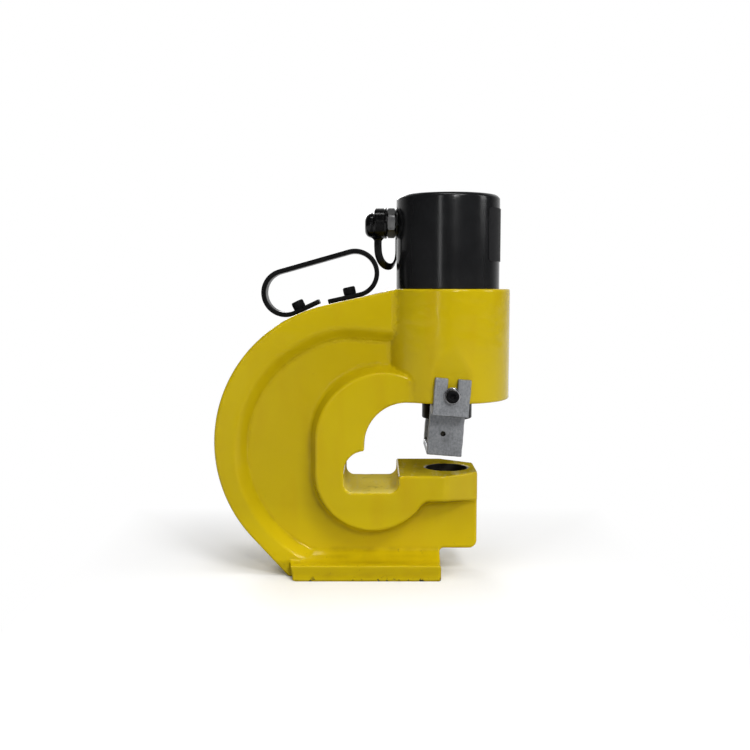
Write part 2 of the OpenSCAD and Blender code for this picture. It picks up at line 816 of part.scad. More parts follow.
module cylinder_barrel() {
    color(black)
        difference() {
            union() {
                on_axis(barrel_bottom)
                    cylinder(h = spigot_l + overrun, d = spigot_d);
                on_axis(head_top)
                    cylinder(h = barrel_h - barrel_chamfer, d = barrel_d);
                on_axis(barrel_top - barrel_chamfer)
                    cylinder(h = barrel_chamfer, d1 = barrel_d, d2 = barrel_d - 2 * barrel_chamfer);
            }
            on_axis(barrel_bottom - overrun)
                cylinder(h = bore_top - barrel_bottom + overrun, d = bore_d);
            on_port(0)
                cylinder(h = port_flat + overrun, d = ring_d + 2 * port_flat_rim);
            on_port(-port_depth)
                cylinder(h = port_depth + overrun, d = port_d + 2 * thread_gap);
            on_port(-barrel_d / 2 + bore_d / 2 - overrun)
                cylinder(h = (barrel_d - bore_d) / 2, d = oil_d);
        }
}

module rating_plate() {
    inner = barrel_d / 2 + run_gap;
    label_h = barrel_h - label_z - label_drop;
    color(black)
        on_axis(head_top + label_z)
            rotate([0, 0, -label_angle / 2])
                rotate_extrude(angle = label_angle)
                    translate([inner, 0])
                        square([label_t, label_h]);
}

module barrel_lock_screw() {
    l = (head_d - spigot_d) / 2 - thread_gap - 2 * overrun;
    color(black)
        translate([axis_x, head_d / 2 - overrun, head_top - barrel_lock_drop])
            rotate([-90, 0, 0])
                grub_screw(barrel_lock_d, l);
}

module ram_guide_bush() {
    color(bronze)
        on_axis(bush_bottom)
            difference() {
                union() {
                    cylinder(h = bush_l + bush_flange_t, d = bush_d - 2 * run_gap);
                    translate([0, 0, bush_l])
                        cylinder(h = bush_flange_t, d = bush_flange_d);
                }
                translate([0, 0, -overrun])
                    cylinder(h = bush_l + bush_flange_t + 2 * overrun, d = rod_d + 2 * run_gap);
            }
}

module ram_wiper() {
    color(rubber)
        on_axis(recess_top)
            ring(bush_d - 2 * run_gap, rod_d + 2 * run_gap, wiper_h - run_gap);
}

module die_lock_screw() {
    l = jaw_end - die_seat_d / 2 - 2 * loose_gap;
    color(black)
        translate([nose_x - loose_gap, 0, jaw_top - die_seat_depth / 2])
            rotate([0, 90, 0])
                grub_screw(die_lock_d, l);
}

module carry_handle() {
    inner_r = handle_r - handle_t;
    back = [back_foot, back_foot + handle_t * square_to(handle_slope)];
    front = [front_foot, front_foot + handle_t * square_to(arm_slope)];
    back_tip = handle_back_foot * along(handle_slope);
    front_tip = -handle_front_foot * along(arm_slope);
    color(black)
        difference() {
            across(handle_w)
                polygon(concat(
                    [back[0] + back_tip],
                    arc(back_bend, handle_r, 270 + handle_slope, 90 + grip_slope),
                    arc(front_bend, handle_r, 90 + grip_slope, arm_slope - 90),
                    [front[0] + front_tip, front[1] + front_tip],
                    arc(front_bend, inner_r, arm_slope - 90, 90 + grip_slope),
                    arc(back_bend, inner_r, 90 + grip_slope, 270 + handle_slope),
                    [back[1] + back_tip]));
            for (p = handle_places())
                translate([p[0][0], 0, p[0][1]])
                    rotate([0, -p[1], 0])
                        translate([0, 0, -overrun])
                            cylinder(h = handle_t + 2 * overrun, d = screw_d + 2 * hole_gap);
        }
}

// One of the handle's screws
module handle_screw(i) {
    p = handle_places()[i];
    color(black)
        translate([p[0][0], 0, p[0][1]])
            rotate([0, -p[1], 0])
                translate([0, 0, handle_t])
                    cap_screw(screw_l);
}

module handle_screw_back() {
    handle_screw(0);
}

module handle_screw_front() {
    handle_screw(1);
}

// One of the stripper's screws, s = -1 at the front and 1 at the rear
module stripper_screw(s) {
    color(black)
        translate([axis_x, s * (washer_y + washer_t), stripper_z])
            rotate([-90 * s, 0, 0])
                cap_screw(washer_y + washer_t - flat_y + screw_grip);
}

module stripper_screw_front() {
    stripper_screw(-1);
}

module stripper_screw_rear() {
    stripper_screw(1);
}

// One of the stripper's washers, s = -1 at the front and 1 at the rear
module stripper_washer(s) {
    color(steel)
        translate([axis_x, s * washer_y, stripper_z])
            rotate([-90 * s, 0, 0])
                ring(washer_d, screw_d + 2 * thread_gap, washer_t);
}

module stripper_washer_front() {
    stripper_washer(-1);
}

module stripper_washer_rear() {
    stripper_washer(1);
}

module coupler_nipple() {
    color(steel)
        difference() {
            union() {
                on_port(-port_depth)
                    cylinder(h = port_depth + nose_0 - overrun, d = port_d);
                on_port(hex_0)
                    cylinder(h = hex_l, d = hex_ac, $fn = 6);
                on_port(nose_0 - overrun)
                    cylinder(h = nose_l + overrun, d = nose_d);
            }
            on_port(-port_depth - overrun)
                cylinder(h = valve_seat + port_depth + overrun, d = valve_d);
            on_port(valve_seat - overrun)
                cylinder(h = mouth_t + 2 * overrun, d = mouth_d);
        }
}

module coupler_retainer() {
    color(steel)
        on_port(ring_0)
            ring(valve_d - 2 * run_gap, valve_d / 2, retainer_t);
}

module dust_cap_ring() {
    color(rubber)
        difference() {
            union() {
                on_port(ring_0)
                    cylinder(h = ring_t, d = ring_d);
                translate([port_x - ring_0 - ring_t, 0, port_z - strap_w / 2])
                    cube([ring_t, ring_d / 2 + strap_t, strap_w]);
            }
            on_port(-overrun)
                cylinder(h = ring_t + 3 * overrun, d = port_d + 2 * loose_gap);
        }
}

module ram() {
    color(steel)
        on_axis(0)
            difference() {
                union() {
                    translate([0, 0, rod_end])
                        cylinder(h = piston_bottom - rod_end, d = nut_thread_d);
                    translate([0, 0, nut_top])
                        cylinder(h = piston_top - nut_top, d = rod_d);
                    translate([0, 0, piston_bottom])
                        cylinder(h = piston_l, d = bore_d - 2 * run_gap);
                    translate([0, 0, piston_top - overrun])
                        cylinder(h = crown_h + overrun, d = crown_d);
                }
                translate([0, 0, seal_z()])
                    ring(bore_d + 2 * overrun, bore_d - 2 * seal_groove, seal_h + backup_h);
                translate([0, 0, guide_z()])
                    ring(bore_d + 2 * overrun, bore_d - 2 * guide_groove, guide_h);
            }
}

// Lower ends of the piston's two grooves, with equal lands between them
function piston_land() = (piston_l - seal_h - backup_h - guide_h) / 3;
function guide_z() = piston_bottom + piston_land();
function seal_z() = guide_z() + guide_h + piston_land();

// A ring that fills one of the piston's grooves
module groove_ring(z, depth, h) {
    on_axis(z + run_gap)
        ring(bore_d - 2 * run_gap, bore_d - 2 * depth + 2 * run_gap, h - 2 * run_gap);
}

module piston_seal() {
    color(rubber)
        groove_ring(seal_z() + backup_h, seal_groove, seal_h);
}

module piston_backup_ring() {
    color(steel)
        groove_ring(seal_z(), seal_groove, backup_h);
}

module piston_guide_ring() {
    color(bronze)
        groove_ring(guide_z(), guide_groove, guide_h);
}

module return_spring() {
    color(steel)
        on_axis(spring_bottom + slide_gap)
            coil(spring_d, piston_bottom - spring_bottom - 2 * slide_gap, spring_wire, spring_curls);
}

module punch_nut() {
    color(black)
        on_axis(nut_bottom)
            difference() {
                cylinder(h = nut_h, d = nut_d);
                translate([0, 0, rod_end - nut_bottom])
                    cylinder(h = nut_thread_l + overrun, d = nut_thread_d + 2 * thread_gap);
                translate([0, 0, flange_bottom - nut_bottom])
                    cylinder(h = punch_flange_t + overrun, d = punch_flange_d + 2 * loose_gap);
                translate([0, 0, -overrun])
                    cylinder(h = nut_h, d = punch_shank_d + 2 * loose_gap);
                for (a = [45:90:315])
                    rotate([0, 0, a])
                        translate([nut_thread_d / 2, 0, (head_bottom - nut_bottom) / 2])
                            rotate([0, 90, 0])
                                cylinder(h = nut_d, d = tommy_d);
            }
}

module punch() {
    color(steel)
        on_axis(flange_bottom - punch_l) {
            cylinder(h = punch_l, d = punch_tip_d);
            translate([0, 0, punch_tip_l])
                cylinder(h = punch_l - punch_tip_l, d = punch_shank_d);
            translate([0, 0, punch_l])
                cylinder(h = punch_flange_t, d = punch_flange_d);
        }
}

module stripper() {
    leg_y = leg_gap / 2;
    out_y = ear_y + ear_t;
    shelf_z = shelf_t - ear_down;
    hole_y = leg_y + leg_t - pin_hole_depth;
    half = [[leg_y + leg_t, -leg_down], [leg_y + leg_t, -ear_down], [out_y, -ear_down], [out_y, ear_up],
        [ear_y, ear_up], [ear_y, shelf_z], [leg_y, shelf_z], [leg_y, plate_t - leg_down]];
    color(steel)
        translate([axis_x, 0, stripper_z])
            rotate([0, stripper_lean, 0])
                difference() {
                    translate([-stripper_w / 2, 0, 0])
                        lengthways(stripper_w)
                            polygon(concat(half, [for (i = [len(half) - 1:-1:0]) [-half[i][0], half[i][1]]]));
                    rotate([90, 0, 0])
                        translate([0, -ear_slot_room, -reach / 2])
                            cylinder(h = reach, d = ear_slot);
                    translate([-ear_slot / 2, -reach / 2, -ear_slot_room])
                        cube([ear_slot, reach, ear_up + ear_slot_room + overrun]);
                    translate([0, 0, -leg_down - overrun])
                        cylinder(h = plate_t + 2 * overrun, d = plate_hole_d);
                    for (s = [-1, 1])
                        translate([-stripper_w / 12, s * hole_y, -(ear_down + leg_down) / 2])
                            rotate([-90 * s, 0, 0])
                                cylinder(h = pin_hole_depth + overrun, d = pin_hole_d);
                }
}

module coupler_poppet() {
    color(steel)
        on_port(poppet_0) {
            cylinder(h = poppet_l, d = valve_d - 2 * run_gap);
            cylinder(h = nose_1 - poppet_0 - loose_gap, d = mouth_d - 4 * loose_gap);
        }
}

module coupler_spring() {
    l = poppet_0 - retainer_1 - 2 * slide_gap;
    color(steel)
        on_port(retainer_1 + slide_gap)
            coil(valve_d - 2 * valve_wire - 2 * loose_gap, l, valve_wire, valve_curls);
}

module dust_cap() {
    end_r = cap_end_d / 2;
    lug = cap_d / 2 + strap_t;
    color(rubber)
        difference() {
            union() {
                on_port(cap_0)
                    cylinder(h = cap_l - cap_chamfer, d = cap_d);
                on_port(cap_1 - cap_chamfer)
                    cylinder(h = cap_chamfer, d1 = cap_d, d2 = cap_d - 2 * cap_chamfer);
                on_port(cap_1 - overrun)
                    rotate_extrude() {
                        square([end_r, cap_end_l + overrun - cap_end_r]);
                        square([end_r - cap_end_r, cap_end_l + overrun]);
                        translate([end_r - cap_end_r, cap_end_l + overrun - cap_end_r])
                            circle(r = cap_end_r, $fn = 32);
                    }
                translate([port_x - cap_strap_x - strap_w / 2, -strap_t / 2, port_z - lug])
                    cube([strap_w, strap_t, lug - nose_d / 2 - overrun]);
            }
            on_port(cap_0 - overrun)
                cylinder(h = nose_l + loose_gap + overrun, d = nose_d + 2 * run_gap);
        }
}

module dust_cap_strap() {
    color(rubber)
        translate([port_x, 0, port_z])
            strap_along(strap_route, strap_w, strap_t, [1, 0, 0]);
}

c_frame();
cylinder_barrel();
rating_plate();
barrel_lock_screw();
ram_guide_bush();
ram_wiper();
die_lock_screw();
carry_handle();
handle_screw_back();
handle_screw_front();
stripper_screw_front();
stripper_screw_rear();
stripper_washer_front();
stripper_washer_rear();
coupler_nipple();
coupler_retainer();
dust_cap_ring();
ram();
piston_seal();
piston_backup_ring();
piston_guide_ring();
return_spring();
punch_nut();
punch();
stripper();
coupler_poppet();
coupler_spring();
dust_cap();
dust_cap_strap();
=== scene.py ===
import math

import bpy
import numpy as np
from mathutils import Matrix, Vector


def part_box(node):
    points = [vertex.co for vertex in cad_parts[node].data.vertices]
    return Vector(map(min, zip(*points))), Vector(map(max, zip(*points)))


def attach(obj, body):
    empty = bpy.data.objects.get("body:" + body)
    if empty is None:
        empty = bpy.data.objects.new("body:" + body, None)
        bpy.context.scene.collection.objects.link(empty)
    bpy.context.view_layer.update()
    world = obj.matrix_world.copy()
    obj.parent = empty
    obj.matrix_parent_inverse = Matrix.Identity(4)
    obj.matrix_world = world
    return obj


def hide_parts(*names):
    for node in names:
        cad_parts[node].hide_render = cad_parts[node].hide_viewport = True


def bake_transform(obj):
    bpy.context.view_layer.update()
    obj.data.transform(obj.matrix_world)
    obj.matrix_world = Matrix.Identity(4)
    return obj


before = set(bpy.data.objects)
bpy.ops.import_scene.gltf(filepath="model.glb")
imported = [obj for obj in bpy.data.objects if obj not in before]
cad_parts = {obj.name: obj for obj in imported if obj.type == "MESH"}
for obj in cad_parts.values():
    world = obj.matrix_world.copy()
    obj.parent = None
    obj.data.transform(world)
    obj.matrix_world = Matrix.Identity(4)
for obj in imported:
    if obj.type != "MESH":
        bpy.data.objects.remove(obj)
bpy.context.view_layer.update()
mm = 0.001
# Axis of the ram and place of the hydraulic port, in millimetres
axisX = 87
ramAxis = np.array([axisX, 0, 0])
port = (34.3, 0, 370)


def show(name, data):
    made = bpy.data.objects.new(name, data)
    bpy.context.scene.collection.objects.link(made)
    return made


# Camera, at the photograph's place and angle
view = {"place": (0.010, -1.016, 0.301), "pitch": 5.151, "lens": 45.8, "sensor": 36.0}
cameraData = bpy.data.cameras.new("camera")
cameraData.lens = view["lens"]
cameraData.sensor_width = view["sensor"]
camera = show("camera", cameraData)
camera.location = view["place"]
camera.rotation_euler = (math.radians(90 - view["pitch"]), 0, 0)
bpy.context.scene.camera = camera
print("stage: camera")


# Ways of making a surface. Lengths are in millimetres until a mesh is made.
walk = {"margin": 1.37, "turns": 4, "probe": 0.05, "least": 0.05, "stride": 0.6}
sixSided = 99
knurl = 0.013


def meet(a, b, r):
    # Inside both shapes, with the edge between them rounded to radius r
    return np.minimum(-r, np.maximum(a, b)) + np.hypot(np.maximum(a + r, 0), np.maximum(b + r, 0))


def join(a, b, r):
    # Inside either shape, with the corner between them filled to radius r
    return np.maximum(r, np.minimum(a, b)) - np.hypot(np.maximum(r - a, 0), np.maximum(r - b, 0))


def slope(field, p, h):
    # Difference of the field over 2 h along each axis
    columns = []
    for axis in range(3):
        q = p.copy()
        q[:, axis] += h
        ahead = field(*q.T)
        q[:, axis] -= 2 * h
        columns.append((ahead - field(*q.T)) / (2 * h))
    return np.stack(columns, 1)


def levelSurface(field, plan):
    # One point in each grid cell that the zero level crosses, joined by a quad across each crossed grid edge
    step = plan["step"]
    axes = [np.arange(a - walk["margin"] * step, b + 2 * step, step) for a, b in zip(*plan["box"])]
    value = field(*np.meshgrid(*axes, indexing="ij"))
    inside = value < 0
    size = np.array(value.shape) - 1
    offsets = np.array([(i, j, k) for i in (0, 1) for j in (0, 1) for k in (0, 1)])
    filled = sum(inside[i:i + size[0], j:j + size[1], k:k + size[2]].astype(np.int8) for i, j, k in offsets)
    cells = np.argwhere((filled > 0) & (filled < 8))
    number = np.full(tuple(size), -1)
    number[tuple(cells.T)] = np.arange(len(cells))
    corner = np.stack([value[tuple((cells + o).T)] for o in offsets], 1)
    total, hits = np.zeros((len(cells), 3)), np.zeros(len(cells))
    for a in range(8):
        for b in range(a + 1, 8):
            if np.abs(offsets[a] - offsets[b]).sum() == 1:
                crossed = (corner[:, a] < 0) != (corner[:, b] < 0)
                share = np.where(crossed, corner[:, a] / np.where(crossed, corner[:, a] - corner[:, b], 1), 0)
                total += np.where(crossed[:, None], offsets[a] + share[:, None] * (offsets[b] - offsets[a]), 0)
                hits += crossed
    points = np.array([a[0] for a in axes]) + step * (cells + total / hits[:, None])
    quads = []
    for axis in range(3):
        first, second = (axis + 1) % 3, (axis + 2) % 3
        edges = np.argwhere(np.diff(inside.astype(np.int8), axis=axis) != 0)
        edges = edges[(edges[:, first] > 0) & (edges[:, second] > 0)
                      & (edges[:, first] < size[first]) & (edges[:, second] < size[second])]
        ring = []
        for f, s in ((-1, -1), (0, -1), (0, 0), (-1, 0)):
            c = edges.copy()
            c[:, first] += f
            c[:, second] += s
            ring.append(number[tuple(c.T)])
        ring = np.stack(ring, 1)
        leaving = inside[tuple(edges.T)]
        quads.append(np.where(leaving[:, None], ring, ring[:, ::-1]))
    # Each point then walks down the field's slope to the zero level
    for turn in range(walk["turns"]):
        g = slope(field, points, walk["probe"])
        move = -field(*points.T)[:, None] * g / np.maximum((g * g).sum(1), walk["least"])[:, None]
        length = np.linalg.norm(move, axis=1, keepdims=True)
        points += move * np.minimum(1, walk["stride"] * step / np.maximum(length, 1e-9))
    normals = slope(field, points, plan["soft"])
    normals /= np.maximum(np.linalg.norm(normals, axis=1, keepdims=True), 1e-9)
    return points, np.concatenate(quads), normals


def rounded(points, radius, closed=False, steps=4):
    # Each corner of a flat outline becomes a curve that starts radius before it and ends radius after it
    points = [np.array(p, float) for p in points]
    out = []
    for i, p in enumerate(points):
        r = radius[i] if isinstance(radius, (list, tuple)) else radius
        if r == 0 or (not closed and i in (0, len(points) - 1)):
            out.append(p)
            continue
        before, after = points[i - 1] - p, points[(i + 1) % len(points)] - p
        a = p + before * min(0.48, r / np.linalg.norm(before))
        b = p + after * min(0.48, r / np.linalg.norm(after))
        for t in np.linspace(0, 1, steps + 1):
            out.append((1 - t) ** 2 * a + 2 * t * (1 - t) * p + t * t * b)
    return np.array(out)


def turned(profile, steps, ring=False, hexRows=None, ridges=0):
    # Radius and height turned about the axis. A row above zero takes the six-sided radius, held under its number,
    # and a row below zero takes the ridges.
    a = np.arange(steps) * 2 * np.pi / steps
    r = np.repeat(profile[:, :1], steps, 1)
    if hexRows is not None:
        six = math.cos(math.pi / 6) / np.cos((a % (math.pi / 3)) - math.pi / 6)
        r = np.where(hexRows[:, None] > 0, np.minimum(r * six, hexRows[:, None]), r)
        r = np.where(hexRows[:, None] < 0, r * (1 + knurl * np.cos(ridges * a)), r)
    points = np.stack([r * np.cos(a), r * np.sin(a), np.repeat(profile[:, 1:2], steps, 1)], 2).reshape(-1, 3)
    return points, gridFaces(len(profile), steps, ring)


def gridFaces(rows, steps, ring):
    # Quads between neighbouring rows that each close on themselves, with flat ends unless the rows close too
    i, j = np.meshgrid(np.arange(rows if ring else rows - 1), np.arange(steps), indexing="ij")
    k, n = (j + 1) % steps, (i + 1) % rows
    faces = np.stack([i * steps + j, i * steps + k, n * steps + k, n * steps + j], 2).reshape(-1, 4).tolist()
    if not ring:
        faces.append(list(range(steps - 1, -1, -1)))
        faces.append(list(range((rows - 1) * steps, rows * steps)))
    return faces


def directions(line):
    ahead = np.gradient(line, axis=0)
    return ahead / np.linalg.norm(ahead, axis=1, keepdims=True)


def swept(path, side, over, section, bevel):
    # The section's two numbers run along side and over at every point of the path. The end rows are drawn in by bevel.
    heads = [(0, bevel), (0.4 * bevel, 0.35 * bevel), (bevel, 0)]
    size = np.abs(section).max(0)

    def row(i, s):
        return path[i] + s[:, :1] * side[i] + s[:, 1:] * over[i]

    def endRows(i, inner):
        ahead = (path[inner] - path[i]) / np.linalg.norm(path[inner] - path[i])
        return [row(i, section * (1 - inset / size)) + shift * ahead for shift, inset in heads]

    rows = endRows(0, 1) + [row(i, section) for i in range(1, len(path) - 1)] + endRows(-1, -2)[::-1]
    return np.concatenate(rows), gridFaces(len(rows), len(section), False)


def placed(points, origin, axis, first):
    # Local third axis along axis, local first axis along first
    w = np.array(axis, float) / np.linalg.norm(axis)
    u = np.array(first, float) - np.dot(first, w) * w
    u /= np.linalg.norm(u)
    return np.array(origin, float) + points @ np.stack([u, np.cross(w, u), w])


def piece(name, points, faces, look, body=None, stands=(), normals=None, sharp=38):
    # Takes the finish called look
    mesh = bpy.data.meshes.new(name)
    mesh.from_pydata((points * mm).tolist(), [], faces if isinstance(faces, list) else faces.tolist())
    mesh.polygons.foreach_set("use_smooth", np.ones(len(mesh.polygons), bool))
    if normals is not None:
        mesh.normals_split_custom_set_from_vertices(normals.tolist())
    else:
        mesh.set_sharp_from_angle(angle=math.radians(sharp))
    mesh.materials.append(finishes[look])
    made = show(name, mesh)
    if body:
        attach(made, body)
    if stands:
        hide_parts(*stands)
    return made


# Materials. Every pattern is laid out in object space, in metres.
def addNode(tree, kind, links=(), **values):
    made = tree.nodes.new("ShaderNode" + kind)
    for key, value in values.items():
        setattr(made, key, value)
    for socket, source in links:
        if isinstance(source, bpy.types.NodeSocket):
            tree.links.new(source, made.inputs[socket])
        else:
            made.inputs[socket].default_value = source
    return made


class Finish:
    def __init__(self, name):
        self.material = bpy.data.materials.new(name)
        self.material.use_nodes = True
        self.tree = self.material.node_tree
        self.shader = self.tree.nodes["Principled BSDF"]
        self.space = self.node("TexCoord").outputs["Object"]
        self.bumpEnd = None

    def node(self, kind, links=(), **values):
        return addNode(self.tree, kind, links, **values)

    def noise(self, scale, detail=3.0, stretch=(1, 1, 1), turn=(0, 0, 0), roughness=0.5):
        spread = self.node("Mapping", [("Vector", self.space), ("Scale", stretch), ("Rotation", turn)])
        made = self.node("TexNoise", [("Vector", spread.outputs[0]), ("Scale", scale), ("Detail", detail),
                                      ("Roughness", roughness)])
        return made.outputs["Fac"]

    def ramp(self, source, low, high, start=0.0, end=1.0):
        made = self.node("MapRange", [("Value", source), ("From Min", low), ("From Max", high),
                                      ("To Min", start), ("To Max", end)])
        return made.outputs["Result"]

    def mix(self, share, a, b):
        a, b = (c if isinstance(c, bpy.types.NodeSocket) else (*c, 1) for c in (a, b))
        return self.node("Mix", [(0, share), (6, a), (7, b)], data_type="RGBA").outputs[2]

    def along(self, axis):
        return self.node("SeparateXYZ", [("Vector", self.space)]).outputs[axis]

    def times(self, a, b):
        return self.node("Math", [(0, a), (1, b)], operation="MULTIPLY").outputs[0]

    def larger(self, a, b):
        return self.node("Math", [(0, a), (1, b)], operation="MAXIMUM").outputs[0]

    def bump(self, height, strength, distance):
        made = self.node("Bump", [("Height", height), ("Strength", strength), ("Distance", distance)])
        if self.bumpEnd is not None:
            self.tree.links.new(self.bumpEnd, made.inputs["Normal"])
        self.bumpEnd = made.outputs[0]

    def set(self, **values):
        for key, value in values.items():
            socket = self.shader.inputs[key.replace("_", " ")]
            if isinstance(value, bpy.types.NodeSocket):
                self.tree.links.new(value, socket)
            else:
                socket.default_value = (*value, 1) if isinstance(value, tuple) else value

    def done(self):
        if self.bumpEnd is not None:
            self.tree.links.new(self.bumpEnd, self.shader.inputs["Normal"])
        return self.material


def enamel():
    # Brushed-on yellow gloss over a casting: runs, soft waves, painted shade in the corners, painted light low down
    # where the paint is paler for the light on the base's slope, and chips along the foot
    f = Finish("enamel")
    height = f.along("Z")
    cloud = f.noise(9, 4)
    streak = f.noise(26, 3, stretch=(1, 1, 0.22))
    paint = f.mix(f.ramp(cloud, 0.3, 0.7), (0.51, 0.38, 0.0035), (0.465, 0.34, 0.0028))
    paint = f.mix(f.times(f.ramp(streak, 0.52, 0.75), 0.45), paint, (0.43, 0.27, 0.003))
    # Painted light: the paint turns paler from the base's slope up to the lower web, for the light the slope catches
    paintedLightLow = f.times(f.ramp(height, 0.014, 0.018), f.ramp(height, 0.075, 0.03, 0.0, 0.6))
    paint = f.mix(paintedLightLow, paint, (0.72, 0.53, 0.004))
    layers = (f.node("Attribute", attribute_name=layer) for layer in ("corner", "edge"))
    corner, edge = (layer.outputs["Fac"] for layer in layers)
    # Painted shade: corners and creases turn darker and more orange
    paint = f.mix(f.times(corner, f.ramp(f.noise(60, 4), 0.35, 0.7, 0.0, 0.35)), paint, (0.30, 0.19, 0.003))
    paint = f.mix(f.times(edge, f.ramp(f.noise(45, 3), 0.35, 0.65, 0.0, 0.3)), paint, (0.58, 0.43, 0.008))
    spots = f.ramp(f.noise(95, 5, roughness=0.65), 0.56, 0.58)
    chips = f.times(spots, f.ramp(height, 0.0060, 0.0008))
    scuffs = f.times(f.ramp(f.noise(210, 4, roughness=0.7), 0.66, 0.69), f.ramp(height, 0.05, 0.0, 0.1, 0.9))
    paint = f.mix(chips, paint, (0.022, 0.018, 0.014))
    paint = f.mix(scuffs, paint, (0.17, 0.115, 0.01))
    f.set(Base_Color=paint, Roughness=f.ramp(f.noise(34, 4), 0.3, 0.7, 0.1, 0.22))
    f.set(IOR=1.5, Specular_IOR_Level=0.22, Specular_Tint=(1.0, 0.93, 0.7))
    f.bump(f.noise(30, 2), 0.22, 0.0012)
    runs = f.noise(60, 3, stretch=(0.3, 1, 1), turn=(0, 0.4, 0))
    upper = f.ramp(height, 0.19, 0.24)
    f.bump(f.times(runs, upper), 0.5, 0.0016)
    f.bump(f.times(f.times(corner, upper), f.noise(300, 2)), 0.6, 0.0018)
    f.bump(f.noise(310, 2), 0.14, 0.00012)
    return f.done()


def wornEnamelPaintedLight():
    # The same paint where work slides over it: dull, scuffed along the throat and grimed, with painted shade on the
    # jaw's top and painted light in the slot
    f = Finish("worn_enamel_painted_light")
    scuff = f.noise(70, 5, stretch=(1, 0.16, 1), roughness=0.65)
    cloud = f.noise(38, 4)
    height = f.along("Z")
    # Darker than the enamel: partly dust, partly painted shade under the head on the jaw's top
    paint = f.mix(f.ramp(cloud, 0.3, 0.7), (0.42, 0.32, 0.012), (0.31, 0.235, 0.012))
    # Below the jaw's top the slot is paler: partly worn paint, partly painted light
    paint = f.mix(f.ramp(height, 0.109, 0.106), paint, (0.7, 0.57, 0.09))
    paint = f.mix(f.ramp(scuff, 0.5, 0.72, 0.0, 0.6), paint, (0.56, 0.5, 0.24))
    paint = f.mix(f.ramp(f.noise(120, 4), 0.6, 0.75, 0.0, 0.5), paint, (0.12, 0.09, 0.02))
    f.set(Base_Color=paint, Roughness=f.ramp(cloud, 0.3, 0.7, 0.6, 0.8), Specular_IOR_Level=0.0)
    f.bump(scuff, 0.2, 0.0003)
    return f.done()


def barrelBlack():
    # Semi-gloss black over a turned tube: faint turning lines, dust and fine wipe marks
    f = Finish("barrel_black")
    dust = f.noise(22, 5, roughness=0.6)
    wipe = f.noise(120, 3, stretch=(1, 1, 0.06))
    tone = f.mix(f.ramp(dust, 0.35, 0.75), (0.0075, 0.0077, 0.0083), (0.0105, 0.0108, 0.0118))
    tone = f.mix(f.times(f.ramp(wipe, 0.6, 0.8), 0.35), tone, (0.012, 0.012, 0.013))
    f.set(Base_Color=tone, Roughness=f.ramp(dust, 0.3, 0.75, 0.15, 0.23), IOR=1.5, Specular_IOR_Level=0.24)
    f.bump(f.noise(14, 2, stretch=(0.02, 0.02, 60)), 0.25, 0.00018)
    f.bump(f.noise(380, 2), 0.1, 0.00008)
    return f.done()


def blackMetal(name, dark, light, low, high, scale):
    # Blackened steel: matt patches, rubbed spots and a fine grain
    f = Finish(name)
    patch = f.noise(scale, 5, roughness=0.6)
    tone = f.mix(f.ramp(patch, 0.35, 0.7), dark, light)
    rub = f.times(f.ramp(f.noise(scale * 3.1, 4), 0.6, 0.72), 0.3)
    tone = f.mix(rub, tone, tuple(2.2 * c for c in light))
    f.set(Base_Color=tone, Roughness=f.ramp(patch, 0.3, 0.75, low, high), Specular_IOR_Level=0.07)
    f.bump(f.noise(900, 3), 0.2, 0.00006)
    f.bump(f.noise(scale * 2, 2), 0.1, 0.0002)
    return f.done()


def bareSteel(name, dark, light, low, high, stretch, scale, depth):
    # Cut or drawn steel: fine lines along one way, cloudy tone and small stains
    f = Finish(name)
    lines = f.noise(scale, 4, stretch=stretch, roughness=0.65)
    cloud = f.noise(70, 4)
    tone = f.mix(f.ramp(lines, 0.3, 0.7), dark, light)
    tone = f.mix(f.times(f.ramp(cloud, 0.5, 0.75), 0.4), tone, tuple(0.55 * c for c in dark))
    f.set(Base_Color=tone, Roughness=f.ramp(lines, 0.3, 0.7, low, high), Metallic=1.0)
    f.bump(lines, 0.3, depth)
    return f.done()


def rubber(name, tone, low, high):
    # Moulded rubber: even black with a dusty bloom and a fine skin
    f = Finish(name)
    bloom = f.noise(160, 4, roughness=0.6)
    base = f.mix(f.ramp(bloom, 0.45, 0.75), tone, tuple(1.9 * c for c in tone))
    f.set(Base_Color=base, Roughness=f.ramp(bloom, 0.3, 0.75, low, high), IOR=1.48, Specular_IOR_Level=0.25)
    f.bump(f.noise(1400, 2), 0.15, 0.00005)
    return f.done()


# Dark and light tone, least and most roughness, scale of the patches
blacks = {"plate_blank": ((0.010, 0.010, 0.011), (0.016, 0.016, 0.017), 0.42, 0.6, 240),
          "black_oxide": ((0.003, 0.003, 0.0033), (0.006, 0.006, 0.0066), 0.3, 0.5, 180),
          "handle_black": ((0.003, 0.003, 0.0033), (0.006, 0.006, 0.0062), 0.26, 0.45, 60)}
# Dark and light tone, least and most roughness, stretch, scale and depth of the lines
steels = {"bronze": ((0.46, 0.30, 0.12), (0.58, 0.40, 0.18), 0.25, 0.4, (1, 1, 40), 20, 0.00003),
          "zinc_steel": ((0.085, 0.085, 0.087), (0.125, 0.125, 0.125), 0.3, 0.42, (1, 1, 1), 160, 0.000003),
          "washer_zinc": ((0.27, 0.27, 0.28), (0.36, 0.36, 0.37), 0.1, 0.2, (1, 1, 1), 260, 0.000004),
          "ram_steel": ((0.5, 0.5, 0.5), (0.62, 0.62, 0.61), 0.14, 0.28, (1, 1, 60), 22, 0.00001),
          "spring_steel": ((0.16, 0.16, 0.165), (0.26, 0.26, 0.265), 0.3, 0.46, (1, 1, 1), 300, 0.00003),
          "tool_steel": ((0.30, 0.30, 0.31), (0.42, 0.42, 0.43), 0.22, 0.36, (1, 1, 50), 30, 0.00002),
          "milled_steel": ((0.215, 0.223, 0.233), (0.39, 0.4, 0.42), 0.36, 0.58, (1, 1, 0.7), 460, 0.00012),
          # The bore finish is painted shade: far darker than bare steel, for the inside of holes
          "bore_steel_painted_shade": ((0.03, 0.028, 0.024), (0.06, 0.056, 0.048), 0.35, 0.55, (1, 1, 40), 30, 0.00005)}
